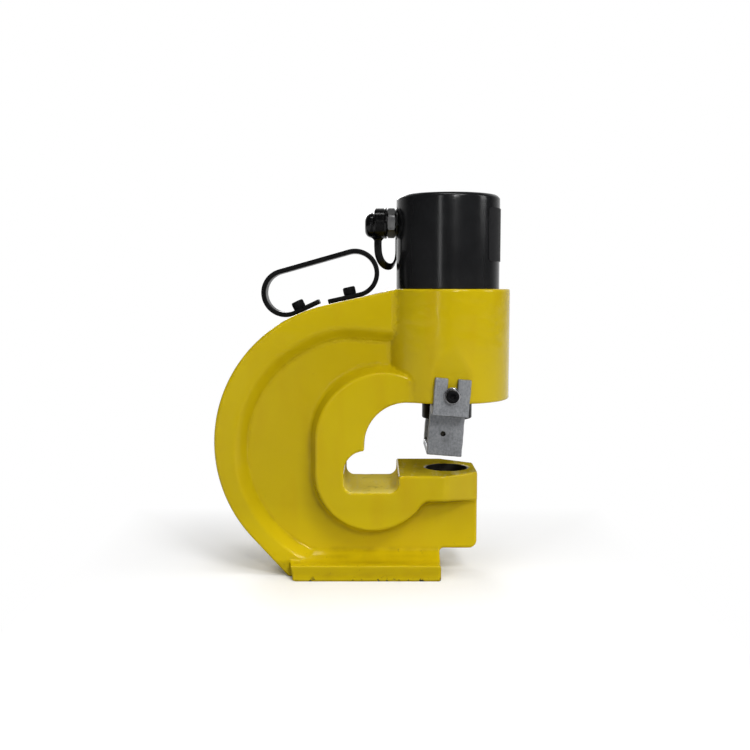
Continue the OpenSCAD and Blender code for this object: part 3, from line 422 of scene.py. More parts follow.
# Tone, least and most roughness
rubbers = {"rubber": ((0.0016, 0.0016, 0.0018), 0.14, 0.28), "plastic_white": ((0.32, 0.32, 0.30), 0.35, 0.5)}
finishes = {"enamel": enamel(), "worn_enamel_painted_light": wornEnamelPaintedLight(), "barrel_black": barrelBlack()}
for make, table in ((blackMetal, blacks), (bareSteel, steels), (rubber, rubbers)):
    for name, values in table.items():
        finishes[name] = make(name, *values)
print("stage: materials", len(finishes))

# Inner pieces keep their solid and take the finish of their slot
slotOf = {"ram": "ram_steel", "piston_backup_ring": "plastic_white", "piston_guide_ring": "bronze",
          "ram_guide_bush": "bronze", "coupler_retainer": "zinc_steel", "coupler_poppet": "zinc_steel"}
for nodeName, slotName in slotOf.items():
    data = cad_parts[nodeName].data
    data.materials.clear()
    data.materials.append(finishes[slotName])


# Casting: one field from the same places and radii as the solid, with cast fillets and rounded edges
cast = {"back": (-10, 140.5, 147.5), "turns": (102.533, 222.36), "pocket": (-6, 133, 118, 11), "top": (260, 4.6),
        "blend": (0.03, 0.05, 0.2), "web": 25.5, "rim": 10.5, "half": 52, "nose": (117.7, 27.5, 8),
        "base": (78.5, 16, 5, 10), "bandLow": (8, 112, 59), "bandHigh": (19, 146, 70), "bandX": -51, "draft": 6,
        "taper": (83.7, 26.5, 34), "ledge": (84, 8, 3.5), "leaning": (0.975, 0.957), "jawLimit": 130,
        "head": (65.5, 185.5, 301), "sink": 6, "flat": (62.65, 216.8, 0.1375), "throat": (-1, 110, 185.5, 43.7),
        "relief": (-0.5, 114, 21.5), "slot": (34, 92.5, 9), "bores": ((48.1, 256), (40, 218), (30, 197), (29.5, 150)),
        "seat": (23.3, 91), "slug": 9, "overlap": 3, "box": ((-158, -66, 0), (153, 66, 301)),
        "step": 2.05, "soft": 0.35}
fillet = {"relief": 1, "rim": 3, "base": 1.5, "end": 1.2, "bank": 6, "web": 1.2, "taper": 3, "ledge": 5, "band": 2.2,
          "foot": 3.5, "nose": 4, "limit": 2.5, "head": 2.4, "floor": 1.0, "top": 2.0, "throat": 2, "flat": 0.8}


def throatCut(x, z):
    # The open throat, its round relief and the slot behind the jaw
    wall, floor, roof, r = cast["throat"]
    opening = np.maximum(meet(wall - x, z - roof, r), floor - z)
    cx, cz, cr = cast["relief"]
    relief = np.hypot(x - cx, z - cz) - cr
    front, low, sr = cast["slot"]
    slot = np.maximum(meet(np.abs(x - (front + cx - cr) / 2) - (front - cx + cr) / 2, low - z, sr), z - cz)
    return join(np.minimum(opening, slot), relief, fillet["relief"])


def castField(x, y, z):
    a, half = np.abs(y), cast["half"]
    # Back outline: the furthest reach over all headings between the arm's and the heel's
    cx, cz, cr = cast["back"]
    heading = np.arctan2(z - cz, x - cx) % (2 * np.pi)
    off = heading - np.clip(heading, *np.radians(cast["turns"]))
    back = np.hypot(x - cx, z - cz) * np.cos(off) - cr
    # Half thickness: the web, rising over the pocket's slope to the rim
    px, pz, pr, pw = cast["pocket"]
    around = (np.hypot(np.minimum(x - px, 0), z - pz) - pr) / pw
    topZ, tilt = cast["top"]
    above = (z - topZ + (x - px) * math.tan(math.radians(tilt))) / pw + 1
    corner, lowBend, highBend = cast["blend"]
    t = 0.5 * (around + above + np.sqrt((around - above) ** 2 + corner))
    rise = 0.5 * (np.hypot(t, lowBend) - np.hypot(t - 1, highBend) + 1)
    plate = meet(back, a - cast["web"] - cast["rim"] * rise, fillet["rim"])
    # Base, joined to the web by its slope
    bx, bz, bu, bs = cast["base"]
    end = (-bx - x + bu * (bz - z) / bz) * bz / math.hypot(bz, bu)
    base = meet(meet(a - half, z - bz, fillet["base"]), end, fillet["end"])
    bank = meet((a + z - cast["web"] - bz - bs) / math.sqrt(2), end, fillet["end"])
    body = join(plate, join(bank, base, fillet["bank"]), fillet["web"])
    # Band with drafted walls and the jaw's sloped underside, between the side faces and the tapered end
    lx, lz, lr = cast["bandLow"]
    hx, hz, hr = cast["bandHigh"]
    middle = np.maximum(cast["bandX"] - x, np.maximum(np.abs(z - (lz + hz) / 2) - (hz - lz) / 2, x - hx))
    band = np.minimum(np.minimum(np.hypot(x - lx, z - lz) - lr, np.hypot(x - hx, z - hz) - hr), middle)
    depth = half - cast["web"]
    wallLean, ledgeLean = cast["leaning"]
    wall = (band - cast["draft"] * (half - a) / depth) * wallLean
    ledge, fall, lift = cast["ledge"]
    tx, tw, tl = cast["taper"]
    climb = lift * np.maximum(x - tx, 0) / tl
    under = (ledge + climb - fall * (half - a) / depth - z) * ledgeLean
    under = np.maximum(under, np.maximum(lx - x, z - cast["jawLimit"]))
    side = meet(a - half, (tw * (x - tx) + tl * (a - half)) / math.hypot(tw, tl), fillet["taper"])
    body = join(body, meet(join(wall, under, fillet["ledge"]), side, fillet["band"]), fillet["foot"])
    # Limits of the nose, then the round head, the floor and the head's top
    nx, nz, nr = cast["nose"]
    body = meet(body, join(x - bx, meet(x - nx, nz - z, nr), fillet["nose"]), fillet["limit"])
    r = np.hypot(x - axisX, y)
    hr, low, top = cast["head"]
    body = join(body, np.maximum(r - hr, low - cast["sink"] - z), fillet["head"])
    body = meet(meet(body, -z, fillet["floor"]), z - top, fillet["top"])
    # Throat, flats, bores, die seat and slug hole
    body = meet(body, -throatCut(x, z), fillet["throat"])
    fy, fz, ramp = cast["flat"]
    body = meet(body, -np.maximum(fy - a, (z - fz - (a - fy) / ramp) * ramp), fillet["flat"])
    bores = np.full_like(r, 1e3)
    for br, bottom in cast["bores"]:
        bores = np.minimum(bores, np.maximum(r - br, bottom - z))
    sr, sz = cast["seat"]
    seat = np.maximum(np.maximum(r - sr, sz - z), z - cast["jawLimit"])
    slug = np.maximum(r - cast["slug"], z - sz - cast["overlap"])
    return np.maximum(body, -np.minimum(np.minimum(bores, seat), slug))


points, quads, normals = levelSurface(castField, cast)
casting = piece("casting", points, quads, "enamel", "frame", ("c_frame",), normals)
# Bend of the surface: the field's mean around a point less the field there, positive on edges
wearAndShade = {"reach": 2.5, "edge": 4, "corner": -9, "near": 0.4, "top": 111, "facing": -0.2}
reach = wearAndShade["reach"]
bend = sum(castField(*(points + reach * d).T) for d in np.concatenate([np.eye(3), -np.eye(3)])) / reach ** 2
bend -= 6 * castField(*points.T) / reach ** 2
# The corner layer also darkens the enamel in creases as painted shade
for layer in ("edge", "corner"):
    attribute = casting.data.attributes.new(layer, "FLOAT", "POINT")
    attribute.data.foreach_set("value", np.clip(bend * wearAndShade[layer], 0, 1).astype(np.float32))
# The jaw's top and the slot take the worn paint with its painted shade and light
middles = points[quads].mean(1)
facing = normals[quads].mean(1)
worn = np.abs(throatCut(middles[:, 0], middles[:, 2])) < wearAndShade["near"]
worn &= (middles[:, 2] < wearAndShade["top"]) & (facing[:, 2] > wearAndShade["facing"])
casting.data.materials.append(finishes["worn_enamel_painted_light"])
casting.data.polygons.foreach_set("material_index", worn.astype(np.int32))
print("stage: casting", len(quads))

# Machined die seat set in the casting's hole, its bare steel painted very dark as the shade in the hole
seat = {"bore": 22.25, "out": 24.1, "floor": 92, "under": 90.5, "top": 109.4, "slug": 9}
profile = rounded([(seat["slug"], seat["under"]), (seat["out"], seat["under"]), (seat["out"], seat["top"]),
                   (seat["bore"], seat["top"]), (seat["bore"], seat["floor"]), (seat["slug"], seat["floor"])],
                  [0, 0, 0.25, 0.3, 0.3, 0.3], closed=True)
points, faces = turned(profile, 128, ring=True)
piece("die_seat", points + ramAxis, faces, "bore_steel_painted_shade", "frame", ("c_frame",))

# Barrel: a capped tube, with the port's round flat pressed into its side
barrel = {"bore": 40, "spigot": 48, "out": 54.25, "foot": 256, "shelf": 301.05, "top": 398, "ceiling": 380,
          "chamfer": 3, "portFlat": (17, 52.7, 45), "mark": (6, 2.5), "centre": 0.6, "coarse": (303, 352, 8),
          "fine": (352.6, 387.4, 72), "last": 390, "near": (0.34, 90), "far": (0.36, 150)}
markR, markDeep = barrel["mark"]
outer = rounded([(barrel["bore"], barrel["foot"]), (barrel["spigot"], barrel["foot"]),
                 (barrel["spigot"], barrel["shelf"]), (barrel["out"], barrel["shelf"]),
                 (barrel["out"], barrel["top"] - barrel["chamfer"]),
                 (barrel["out"] - barrel["chamfer"], barrel["top"]), (markR, barrel["top"]),
                 (barrel["centre"], barrel["top"] - markDeep)],
                [0, 0.5, 0, 0.8, 1.4, 1.4, 0.5, 0])
split = np.argmax((outer[:, 0] > barrel["out"] - 0.01) & (outer[:, 1] > barrel["shelf"] + 0.5)) + 1
rise = np.concatenate([np.linspace(*barrel["coarse"]), np.linspace(*barrel["fine"]), [barrel["last"]]])
rows = np.concatenate([[(barrel["centre"], barrel["ceiling"]), (barrel["bore"], barrel["ceiling"])], outer[:split],
                       np.stack([np.full(len(rise), barrel["out"]), rise], 1), outer[split:]])
(near, nearCount), (far, farCount) = barrel["near"], barrel["far"]
a = np.concatenate([np.pi + np.linspace(-near, near, nearCount), np.linspace(np.pi + far, 3 * np.pi - far, farCount)])
points = np.stack([rows[:, :1] * np.cos(a), rows[:, :1] * np.sin(a), np.repeat(rows[:, 1:], len(a), 1)], 2)
portR, portX, sideX = barrel["portFlat"]
flat = (np.hypot(points[..., 1], points[..., 2] - port[2]) < portR) & (points[..., 0] < -sideX)
points[..., 0] = np.where(flat, np.maximum(points[..., 0], -portX), points[..., 0])
points = points.reshape(-1, 3) + ramAxis
piece("barrel", points, gridFaces(len(rows), len(a), False), "barrel_black", "frame", ("cylinder_barrel",), sharp=30)

# Blank plate: rows of a sheet bent round the barrel, drawn in at the round corners
plate = {"inner": 54.3, "thick": 0.8, "turn": 45, "low": 329.5, "high": 384, "corner": 4, "edge": 0.25,
         "cells": 48, "bendRows": 9, "rows": 12}
half, mid = (plate["high"] - plate["low"]) / 2, (plate["high"] + plate["low"]) / 2
wide = math.radians(plate["turn"]) * plate["inner"]
bend = half - plate["corner"] * (1 - np.sin(np.linspace(0, np.pi / 2, plate["bendRows"])))
rise = np.concatenate([-bend[::-1], np.linspace(-bend[0], bend[0], plate["rows"])[1:-1], bend])
rows = []
for up in rise:
    w = wide - plate["corner"] + math.sqrt(max(plate["corner"] ** 2 - max(abs(up) - bend[0], 0) ** 2, 0))
    top = plate["thick"] - (plate["edge"] if abs(up) == half else 0)
    across = np.linspace(plate["edge"] - w, w - plate["edge"], plate["cells"])
    across = np.concatenate([[-w], across, [w], [w], across[::-1], [-w]])
    low = top - plate["edge"]
    lift = np.concatenate([[low], np.full(plate["cells"], top), [low], np.zeros(plate["cells"] + 2)])
    r, angle = plate["inner"] + lift, across / plate["inner"]
    rows.append(np.stack([axisX + r * np.cos(angle), r * np.sin(angle), np.full(len(r), mid + up)], 1))
piece("rating_plate_blank", np.concatenate(rows), gridFaces(len(rows), len(rows[0]), False), "plate_blank", "frame",
      ("rating_plate",))
print("stage: barrel")

# Handle: a flat bar swept along two feet, two bends and the grip
bar = {"backFoot": (-72.98, 273.878), "frontFoot": (-5.48, 292.606), "backSlope": 25.2762, "armSlope": 12.533,
       "gripSlope": 15.7606, "bend": 25.5401, "thick": 5, "wide": 25, "backLength": 28, "frontLength": 34, "edge": 1.3,
       "bevel": 0.7, "start": 2, "footRows": 8, "bendRows": 40, "boltBack": 6, "boltFront": -10, "boltShank": 6}


def heading(degrees):
    return np.array([math.cos(math.radians(degrees)), math.sin(math.radians(degrees))])


def arc(centre, radius, start, end, count):
    return [centre + radius * heading(t) for t in np.linspace(start, end, count)]


upBack, upFront = heading(bar["backSlope"] + 90), heading(bar["armSlope"] + 90)
back, front = np.array(bar["backFoot"]), np.array(bar["frontFoot"])
radius = bar["bend"] - bar["thick"] / 2
line = [back + bar["thick"] / 2 * upBack + s * heading(bar["backSlope"])
        for s in np.linspace(bar["backLength"], bar["start"], bar["footRows"])]
line += arc(back + bar["bend"] * upBack, radius, 270 + bar["backSlope"], 90 + bar["gripSlope"], bar["bendRows"])
line += arc(front + bar["bend"] * upFront, radius, 90 + bar["gripSlope"], bar["armSlope"] - 90, bar["bendRows"])
line += [front + bar["thick"] / 2 * upFront - s * heading(bar["armSlope"])
         for s in np.linspace(bar["start"], bar["frontLength"], bar["footRows"])]
line = np.array(line)
ahead = directions(line)
path = np.stack([line[:, 0], 0 * line[:, 0], line[:, 1]], 1)
over = np.stack([-ahead[:, 1], 0 * line[:, 0], ahead[:, 0]], 1)
side = np.tile([0.0, 1.0, 0.0], (len(line), 1))
w, t = bar["wide"] / 2, bar["thick"] / 2
section = rounded([(-w, -t), (w, -t), (w, t), (-w, t)], bar["edge"], closed=True)
points, faces = swept(path, side, over, section[::-1], bar["bevel"])
piece("handle", points, faces, "handle_black", "frame", ("carry_handle",))

# Socket cap screws: knurled head, six-sided socket and a plain shank
cap = {"head": 6.5, "high": 8, "shank": 4, "socket": 3.46, "depth": 4, "ridges": 36, "centre": 0.4, "under": (0.3, 0.5),
       "crown": (0.9, 1.2), "lip": 0.35, "cone": 0.9, "steps": 144}


def socketed(profile, socket):
    # The rows of a screw and its socket, and which of them are six-sided
    rows = np.concatenate([profile, socket])
    flags = np.zeros(len(rows))
    flags[-3:-1] = sixSided
    return rows, flags


def capScrew(name, stands, origin, axis, first, shank):
    rim, high, floor = cap["head"], cap["high"], cap["high"] - cap["depth"]
    (underIn, underUp), (crownIn, crownDown) = cap["under"], cap["crown"]
    profile = rounded([(cap["centre"], -shank), (cap["shank"], -shank), (cap["shank"], 0), (rim - underIn, 0),
                       (rim, underUp), (rim, high - crownDown), (rim - crownIn, high),
                       (cap["socket"] + cap["lip"], high)],
                      [0, 0.5, 0, 0.2, 0.3, 0.5, 0.5, 0], steps=3)
    rows, flags = socketed(profile, [(cap["socket"], high - cap["lip"]), (cap["socket"], floor),
                                     (cap["centre"], floor - cap["cone"])])
    flags[(rows[:, 0] > rim - 0.05) & (rows[:, 1] > 0.4)] = -1
    points, faces = turned(rows, cap["steps"], hexRows=flags, ridges=cap["ridges"])
    piece(name, placed(points, origin, axis, first), faces, "black_oxide", "frame", (stands,), sharp=32)


for name, foot, tilt, along in (("back", back, bar["backSlope"], bar["boltBack"]),
                                ("front", front, bar["armSlope"], bar["boltFront"])):
    spot = foot + along * heading(tilt) + bar["thick"] * heading(tilt + 90)
    up = heading(tilt + 90)
    capScrew("handle_bolt_" + name, "handle_screw_" + name, (spot[0], 0, spot[1]), (up[0], 0, up[1]), (0, 1, 0),
             bar["boltShank"])

# Stripper screws and washers on the head's flats
ear = {"at": (axisX, 194.5), "screwY": 71.45, "washer": (4.1, 8.75, 69.45, 71.4), "washerEdge": 0.8, "shankEnd": 61.75}
for name, s in (("front", -1), ("rear", 1)):
    capScrew("stripper_bolt_" + name, "stripper_screw_" + name, (ear["at"][0], s * ear["screwY"], ear["at"][1]),
             (0, s, 0), (0.3, 0, 1), ear["screwY"] - ear["shankEnd"])
    inner, outer, low, high = ear["washer"]
    profile = rounded([(inner, low), (outer, low), (outer, high), (inner, high)], ear["washerEdge"], closed=True)
    points, faces = turned(profile, 96, ring=True)
    piece("washer_" + name, placed(points, (ear["at"][0], 0, ear["at"][1]), (0, s, 0), (0, 0, 1)), faces,
          "washer_zinc", "frame", ("stripper_washer_" + name,))

# Lock screws with the bare ring of the hole's edge around them, painted very dark as the shade in the hole. Each has
# its place, axis, radius, length and ring.
lockScrews = {"die_lock_screw": ((117.86, 0, 101), (1, 0, 0), 4, 7.8, 5.4),
              "barrel_lock_screw": ((axisX, 65.62, 285), (0, 1, 0), 3, 15, 4.2)}
grub = {"sink": 0.4, "bevel": 0.5, "socket": (0.55, 0.56), "lip": 0.1, "centre": 0.3, "gap": 0.12, "ring": 3}
for name, (origin, axis, r, deep, cut) in lockScrews.items():
    sink, bevel, gap, ringDeep = grub["sink"], grub["bevel"], grub["gap"], grub["ring"]
    inSocket, onSocket = (share * r for share in grub["socket"])
    rows = rounded([(grub["centre"], -deep), (r, -deep), (r, -sink - bevel), (r - bevel, -sink), (onSocket, -sink)],
                   [0, 0.3, 0.3, 0.2, 0])
    rows, flags = socketed(rows, [(inSocket, -sink - grub["lip"]), (inSocket, -0.5 * deep),
                                  (grub["centre"], -0.5 * deep - sink)])
    points, faces = turned(rows, 72, hexRows=flags)
    piece(name + "_grub", placed(points, origin, axis, (0, 0.2, 1)), faces, "black_oxide", "frame", (name,), sharp=30)
    ring = rounded([(r + gap, -ringDeep), (cut, -ringDeep), (cut, -gap), (r + bevel, 0), (r + gap, -sink)],
                   [0, 0, 0.1, 0.1, 0.1], closed=True)
    points, faces = turned(ring, 72, ring=True)
    piece(name + "_hole", placed(points, origin, axis, (0, 0.2, 1)), faces, "bore_steel_painted_shade", "frame",
          ("c_frame",))
print("stage: fasteners")

# Stripper: a stepped section with rounded inner corners, cut to width, slotted and drilled
strip = {"wide": 18.25, "ear": (62.85, 69.35, 17, -21), "shelf": -13, "leg": (28, 35, -66.5), "plate": -60,
         "slot": (5, -2.5, 55), "hole": (16, -55), "pin": (-3.042, -43.75, 2.5, 4.5), "lean": 4.5,
         "at": (axisX, 0, 194.5), "box": ((-19, -70, -67), (19, 70, 18)), "step": 0.85, "soft": 0.2}
stripEdge = {"shelf": 2, "step": 1.6, "plate": 2.5, "outer": 0.7, "slot": 0.5, "hole": 0.4}


def stripField(x, y, z):
    a = np.abs(y)
    inner, outer, top, low = strip["ear"]
    legIn, legOut, bottom = strip["leg"]
    hull = np.maximum(a - outer, np.maximum(z - top, bottom - z))
    above = meet(a - inner, strip["shelf"] - z, stripEdge["shelf"])
    below = meet(legOut - a, z - low, stripEdge["step"])
    between = meet(a - legIn, strip["plate"] - z, stripEdge["plate"])
    section = meet(hull, -np.minimum(np.minimum(above, below), between), stripEdge["outer"])
    # The cut faces wave a little
    worn = 0.16 * np.sin(x * 0.31 + 1.3) * np.sin(z * 0.23) + 0.1 * np.sin(x * 0.9 - z * 0.5 + a)
    body = meet(section + 0.4 * worn, np.abs(x) - strip["wide"] - worn, stripEdge["outer"])
    half, foot, slotY = strip["slot"]
    slot = np.minimum(np.hypot(x, z - foot) - half, np.maximum(np.abs(x) - half, foot - z))
    body = meet(body, -np.maximum(slot, slotY - a), stripEdge["slot"])
    px, pz, pr, deep = strip["pin"]
    hr, holeTop = strip["hole"]
    holes = np.minimum(np.maximum(np.hypot(x, y) - hr, z - holeTop),
                       np.maximum(np.hypot(x - px, z - pz) - pr, legOut - deep - a))
    return meet(body, -holes, stripEdge["hole"])


points, quads, normals = levelSurface(stripField, strip)
lean = math.radians(strip["lean"])
turn = np.array([[math.cos(lean), 0, -math.sin(lean)], [0, 1, 0], [math.sin(lean), 0, math.cos(lean)]])
yoke = piece("stripper_yoke", points @ turn + np.array(strip["at"]), quads, "milled_steel", "stripper",
             ("stripper",), normals @ turn)
# Painted shade: the insides of the blind holes take the dark bore finish
middles = points[quads].mean(1)
pinX, pinZ, pinR = strip["pin"][:3]
lip = 0.2
paintedShadeInHole = np.hypot(middles[:, 0] - pinX, middles[:, 2] - pinZ) < pinR + lip
paintedShadeInHole &= np.abs(middles[:, 1]) < strip["leg"][1] - lip
yoke.data.materials.append(finishes["bore_steel_painted_shade"])
yoke.data.polygons.foreach_set("material_index", paintedShadeInHole.astype(np.int32))
print("stage: stripper", len(quads))

# Nut under the head: a round nut with four tommy bar holes, hollow for the rod and the punch's flange
nut = {"out": 26.5, "low": 164, "high": 194, "thread": (19.1, 178), "flange": (14.3, 172), "shank": 9.5,
       "tommy": (3, 174.75, 19.5), "edge": 1.2, "holeEdge": 0.5, "box": ((-27, -27, 164), (27, 27, 194)), "step": 1.0,
       "soft": 0.2}


def nutField(x, y, z):
    r = np.hypot(x, y)
    body = meet(r - nut["out"], np.maximum(z - nut["high"], nut["low"] - z), nut["edge"])
    tr, tz, tin = nut["tommy"]
    holes = np.minimum(np.maximum(r - nut["thread"][0], nut["thread"][1] - z),
                       np.maximum(r - nut["flange"][0], nut["flange"][1] - z))
    holes = np.minimum(holes, r - nut["shank"])
    u, v = (x + y) / math.sqrt(2), (x - y) / math.sqrt(2)
    bars = np.minimum(np.hypot(u, z - tz), np.hypot(v, z - tz)) - tr
    return meet(meet(body, -np.maximum(bars, tin - r), nut["holeEdge"]), -holes, nut["holeEdge"])


points, quads, normals = levelSurface(nutField, nut)
piece("nut", points + ramAxis, quads, "black_oxide", "ram", ("punch_nut",), normals)

# Punch: flange, shank and ground tip. Each row has its radius, height and rounding.
stem = np.array([(0.4, 131.6, 0), (7.6, 131, 0.3), (8.7, 131, 0.25), (8.7, 148.4, 0.4), (9.2, 149.2, 0.4),
                 (9.2, 172, 1.2), (14, 172, 0.5), (14, 178, 0.5), (0.4, 178, 0)])
points, faces = turned(rounded(stem[:, :2], stem[:, 2].tolist()), 96)
piece("punch_tool", points + ramAxis, faces, "tool_steel", "ram", ("punch",))

# Coupler nipple: six-sided body with turned-off corners, spigot, nose and valve bore
hexBody = {"spigot": 8.5, "corner": 15.59, "face": 13.2, "hex": (2.7, 11.7), "nose": (12, 24.2), "mouth": (4.5, 19.7),
           "groove": (11.2, 14.6, 16.2, 0.6), "bore": 6.5, "root": -9,
           "cuts": ((0.05, 13.35), (0.7, 14.6), (1.4, sixSided))}
lowHex, highHex = hexBody["hex"]
noseR, tip = hexBody["nose"]
mouthR, mouthZ = hexBody["mouth"]
grooveR, grooveLow, grooveHigh, flank = hexBody["groove"]
# Each row has its radius, height and limit for the six-sided radius
rows = [(hexBody["spigot"], hexBody["root"], 0), (hexBody["spigot"], lowHex, 0), (hexBody["face"], lowHex, 0)]
rows += [(hexBody["corner"], lowHex + up, limit) for up, limit in hexBody["cuts"]]
rows += [(hexBody["corner"], highHex - down, limit) for down, limit in hexBody["cuts"][::-1]]
rows += [(hexBody["face"], highHex, 0), (noseR + 0.2, highHex, 0), (noseR, highHex + 0.3, 0),
         (noseR, grooveLow - flank, 0), (grooveR, grooveLow, 0), (grooveR, grooveHigh, 0),
         (noseR, grooveHigh + flank, 0), (noseR, tip - 1, 0), (noseR - 0.4, tip - 0.3, 0), (noseR - 1.2, tip, 0),
         (mouthR + 0.7, tip, 0), (mouthR, tip - 0.6, 0), (mouthR, mouthZ, 0), (hexBody["bore"], mouthZ, 0),
         (hexBody["bore"], hexBody["root"], 0)]
rows = np.array(rows, float)
points, faces = turned(rows[:, :2], 144, ring=True, hexRows=rows[:, 2])
outward, first = (-1, 0, 0), (0, 0, 1)
piece("nipple", placed(points, port, outward, first), faces, "zinc_steel", "frame", ("coupler_nipple",), sharp=25)

# Dust cap: sleeve, round end and the lug for its strap, run together as one moulding
boot = {"sleeve": (15.5, 11.8, 25.2), "end": (12.9, 34.7, 7, 2.2), "overlap": 4, "bore": (12.05, 24.5),
        "lug": (21.18, 4, 1.25, 18), "bead": (15.3, 12.9, 1.0), "box": ((-18.5, -17, 11), (17, 17, 35)), "step": 0.6,
        "soft": 0.15}
bootEdge = {"sleeve": 1.6, "end": 1.4, "lug": 0.9, "lugFoot": 4.5, "bead": 0.8, "mouth": 0.5}


def bootField(u, v, w):
    # u up, v away from the camera, w out along the port
    r = np.hypot(u, v)
    sr, near, far = boot["sleeve"]
    er, tip, bend, sag = boot["end"]
    sleeve = meet(r - sr, np.maximum(near - w, w - far), bootEdge["sleeve"])
    end = np.maximum(meet(np.hypot(u + sag, v) - er, w - tip, bend), near + boot["overlap"] - w)
    body = join(sleeve, end, bootEdge["end"])
    lw, half, thin, drop = boot["lug"]
    lug = np.maximum(meet(np.abs(w - lw) - half, np.abs(v) - thin, bootEdge["lug"]), np.maximum(u, -drop - u))
    body = join(body, lug, bootEdge["lugFoot"])
    beadR, beadW, thick = boot["bead"]
    body = join(body, np.hypot(r - beadR, w - beadW) - thick, bootEdge["bead"])
    br, deep = boot["bore"]
    return meet(body, -np.maximum(r - br, w - deep), bootEdge["mouth"])


points, quads, normals = levelSurface(bootField, boot)
piece("cap_boot", placed(points, port, outward, first), quads, "rubber", "dust_cap",
      ("dust_cap",), placed(normals, (0, 0, 0), outward, first))

# Neck ring with its lug, clamped behind the hex
neck = {"out": 15, "hole": 8.8, "near": 0.12, "far": 2.58, "lug": (17.5, 4), "lugFoot": 2, "edge": 0.7,
        "box": ((-16, -16, 0), (16, 18, 3)), "step": 0.5, "soft": 0.12}


def neckField(u, v, w):
    r = np.hypot(u, v)
    lug = np.maximum(np.abs(u) - neck["lug"][1], np.maximum(-v, v - neck["lug"][0]))
    flat = join(r - neck["out"], lug, neck["lugFoot"])
    thick = np.maximum(neck["near"] - w, w - neck["far"])
    return np.maximum(meet(flat, thick, neck["edge"]), neck["hole"] - r)


points, quads, normals = levelSurface(neckField, neck)
# Mirrored, with its faces turned round. The lug then lies in front, where the solid has it at the rear.
mirror = [1, -1, 1]
piece("neck_ring", placed(points * mirror, port, outward, first), quads[:, ::-1], "rubber", "frame",
      ("dust_cap_ring",), placed(normals * mirror, (0, 0, 0), outward, first))

# Strap: a soft flat section along the solid's route, its width carried on from point to point
strap = {"wide": 4, "thin": 1.25, "edge": 1.0, "bevel": 0.3, "steps": 10,
         "route": [(-21.18, 0, -18.1), (-21.18, 0, -25.088), (-20.333, 1.02, -33.018), (-17.474, 3.494, -40.006),
                   (-12.496, 7.013, -44.486), (-6.989, 11.475, -44.8), (-3.177, 16.499, -40.006),
                   (-1.313, 21.497, -31.002), (-1.059, 24.812, -19.981), (-1.059, 25.5, -9.99),
                   (-1.35, 22.972, -1.478), (-1.35, 20.523, 0), (-1.35, 19.022, 0), (-1.35, 17.6, 0)]}


def smoothRoute(route, steps):
    # Each stretch is the cubic through its two points with the headings of their neighbours
    p = np.array(route, float)
    a, d = np.vstack([p[:1], p[:-2]]), np.vstack([p[2:], p[-1:]])
    b, c = p[:-1], p[1:]
    t = np.linspace(0, 1, steps, endpoint=False)[:, None, None]
    line = (2 * b + (c - a) * t + (2 * a - 5 * b + 4 * c - d) * t ** 2 + (3 * b - a - 3 * c + d) * t ** 3) / 2
    return np.vstack([line.transpose(1, 0, 2).reshape(-1, 3), p[-1:]])


path = smoothRoute(strap["route"], strap["steps"]) + np.array(port)
ahead = directions(path)
side = [np.array([1.0, 0, 0])]
for h in ahead:
    v = side[-1] - np.dot(side[-1], h) * h
    side.append(v / np.linalg.norm(v))
side = np.array(side[1:])
w, t = strap["wide"], strap["thin"]
section = rounded([(-w, -t), (w, -t), (w, t), (-w, t)], strap["edge"], closed=True)
points, faces = swept(path, side, np.cross(ahead, side), section, strap["bevel"])
tether = piece("tether", points, faces, "rubber", None, ("dust_cap_strap",))
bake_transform(tether)

# Springs: round wire along a helix whose end turns lie flat
coil = {"flatTurns": 1.2, "least": 0.14, "sides": 12, "bevel": 0.12}
springs = {"ram_spring": {"node": "return_spring", "origin": (axisX, 0, 222.1), "axis": (0, 0, 1), "first": (1, 0, 0),
                          "radius": 33, "wire": 7, "length": 111.8, "turns": 7, "rings": 36, "body": "ram",
                          "start": (0.087, 0, 0.226), "end": (0.087, 0, 0.330)},
           "valve_spring": {"node": "coupler_spring", "origin": (31.6, 0, 370), "axis": (-1, 0, 0), "first": (0, 0, 1),
                            "radius": 5.2, "wire": 1, "length": 9.1, "turns": 5, "rings": 24, "body": "coupler_valve",
                            "start": (0.0311, 0, 0.37), "end": (0.0230, 0, 0.37)}}
for name, spring in springs.items():
    turns, wire, radius = spring["turns"], spring["wire"], spring["radius"]
    s = np.linspace(0, 1, turns * spring["rings"] + 1)
    pace = np.clip(np.minimum(s, 1 - s) * turns / coil["flatTurns"], 0, 1)
    pace = coil["least"] + (1 - coil["least"]) * pace * pace * (3 - 2 * pace)
    rise = np.concatenate([[0], np.cumsum((pace[1:] + pace[:-1]) / 2)])
    rise = wire / 2 + (spring["length"] - wire) * rise / rise[-1]
    a = 2 * np.pi * turns * s
    line = np.stack([radius * np.cos(a), radius * np.sin(a), rise], 1)
    out = np.stack([np.cos(a), np.sin(a), 0 * a], 1)
    b = np.arange(coil["sides"]) * 2 * np.pi / coil["sides"]
    section = wire / 2 * np.stack([np.cos(b), np.sin(b)], 1)
    points, faces = swept(line, out, np.cross(directions(line), out), section, coil["bevel"] * wire)
    made = piece(name, placed(points, spring["origin"], spring["axis"], spring["first"]), faces,
                 "spring_steel", None, (spring["node"],))
    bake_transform(made)

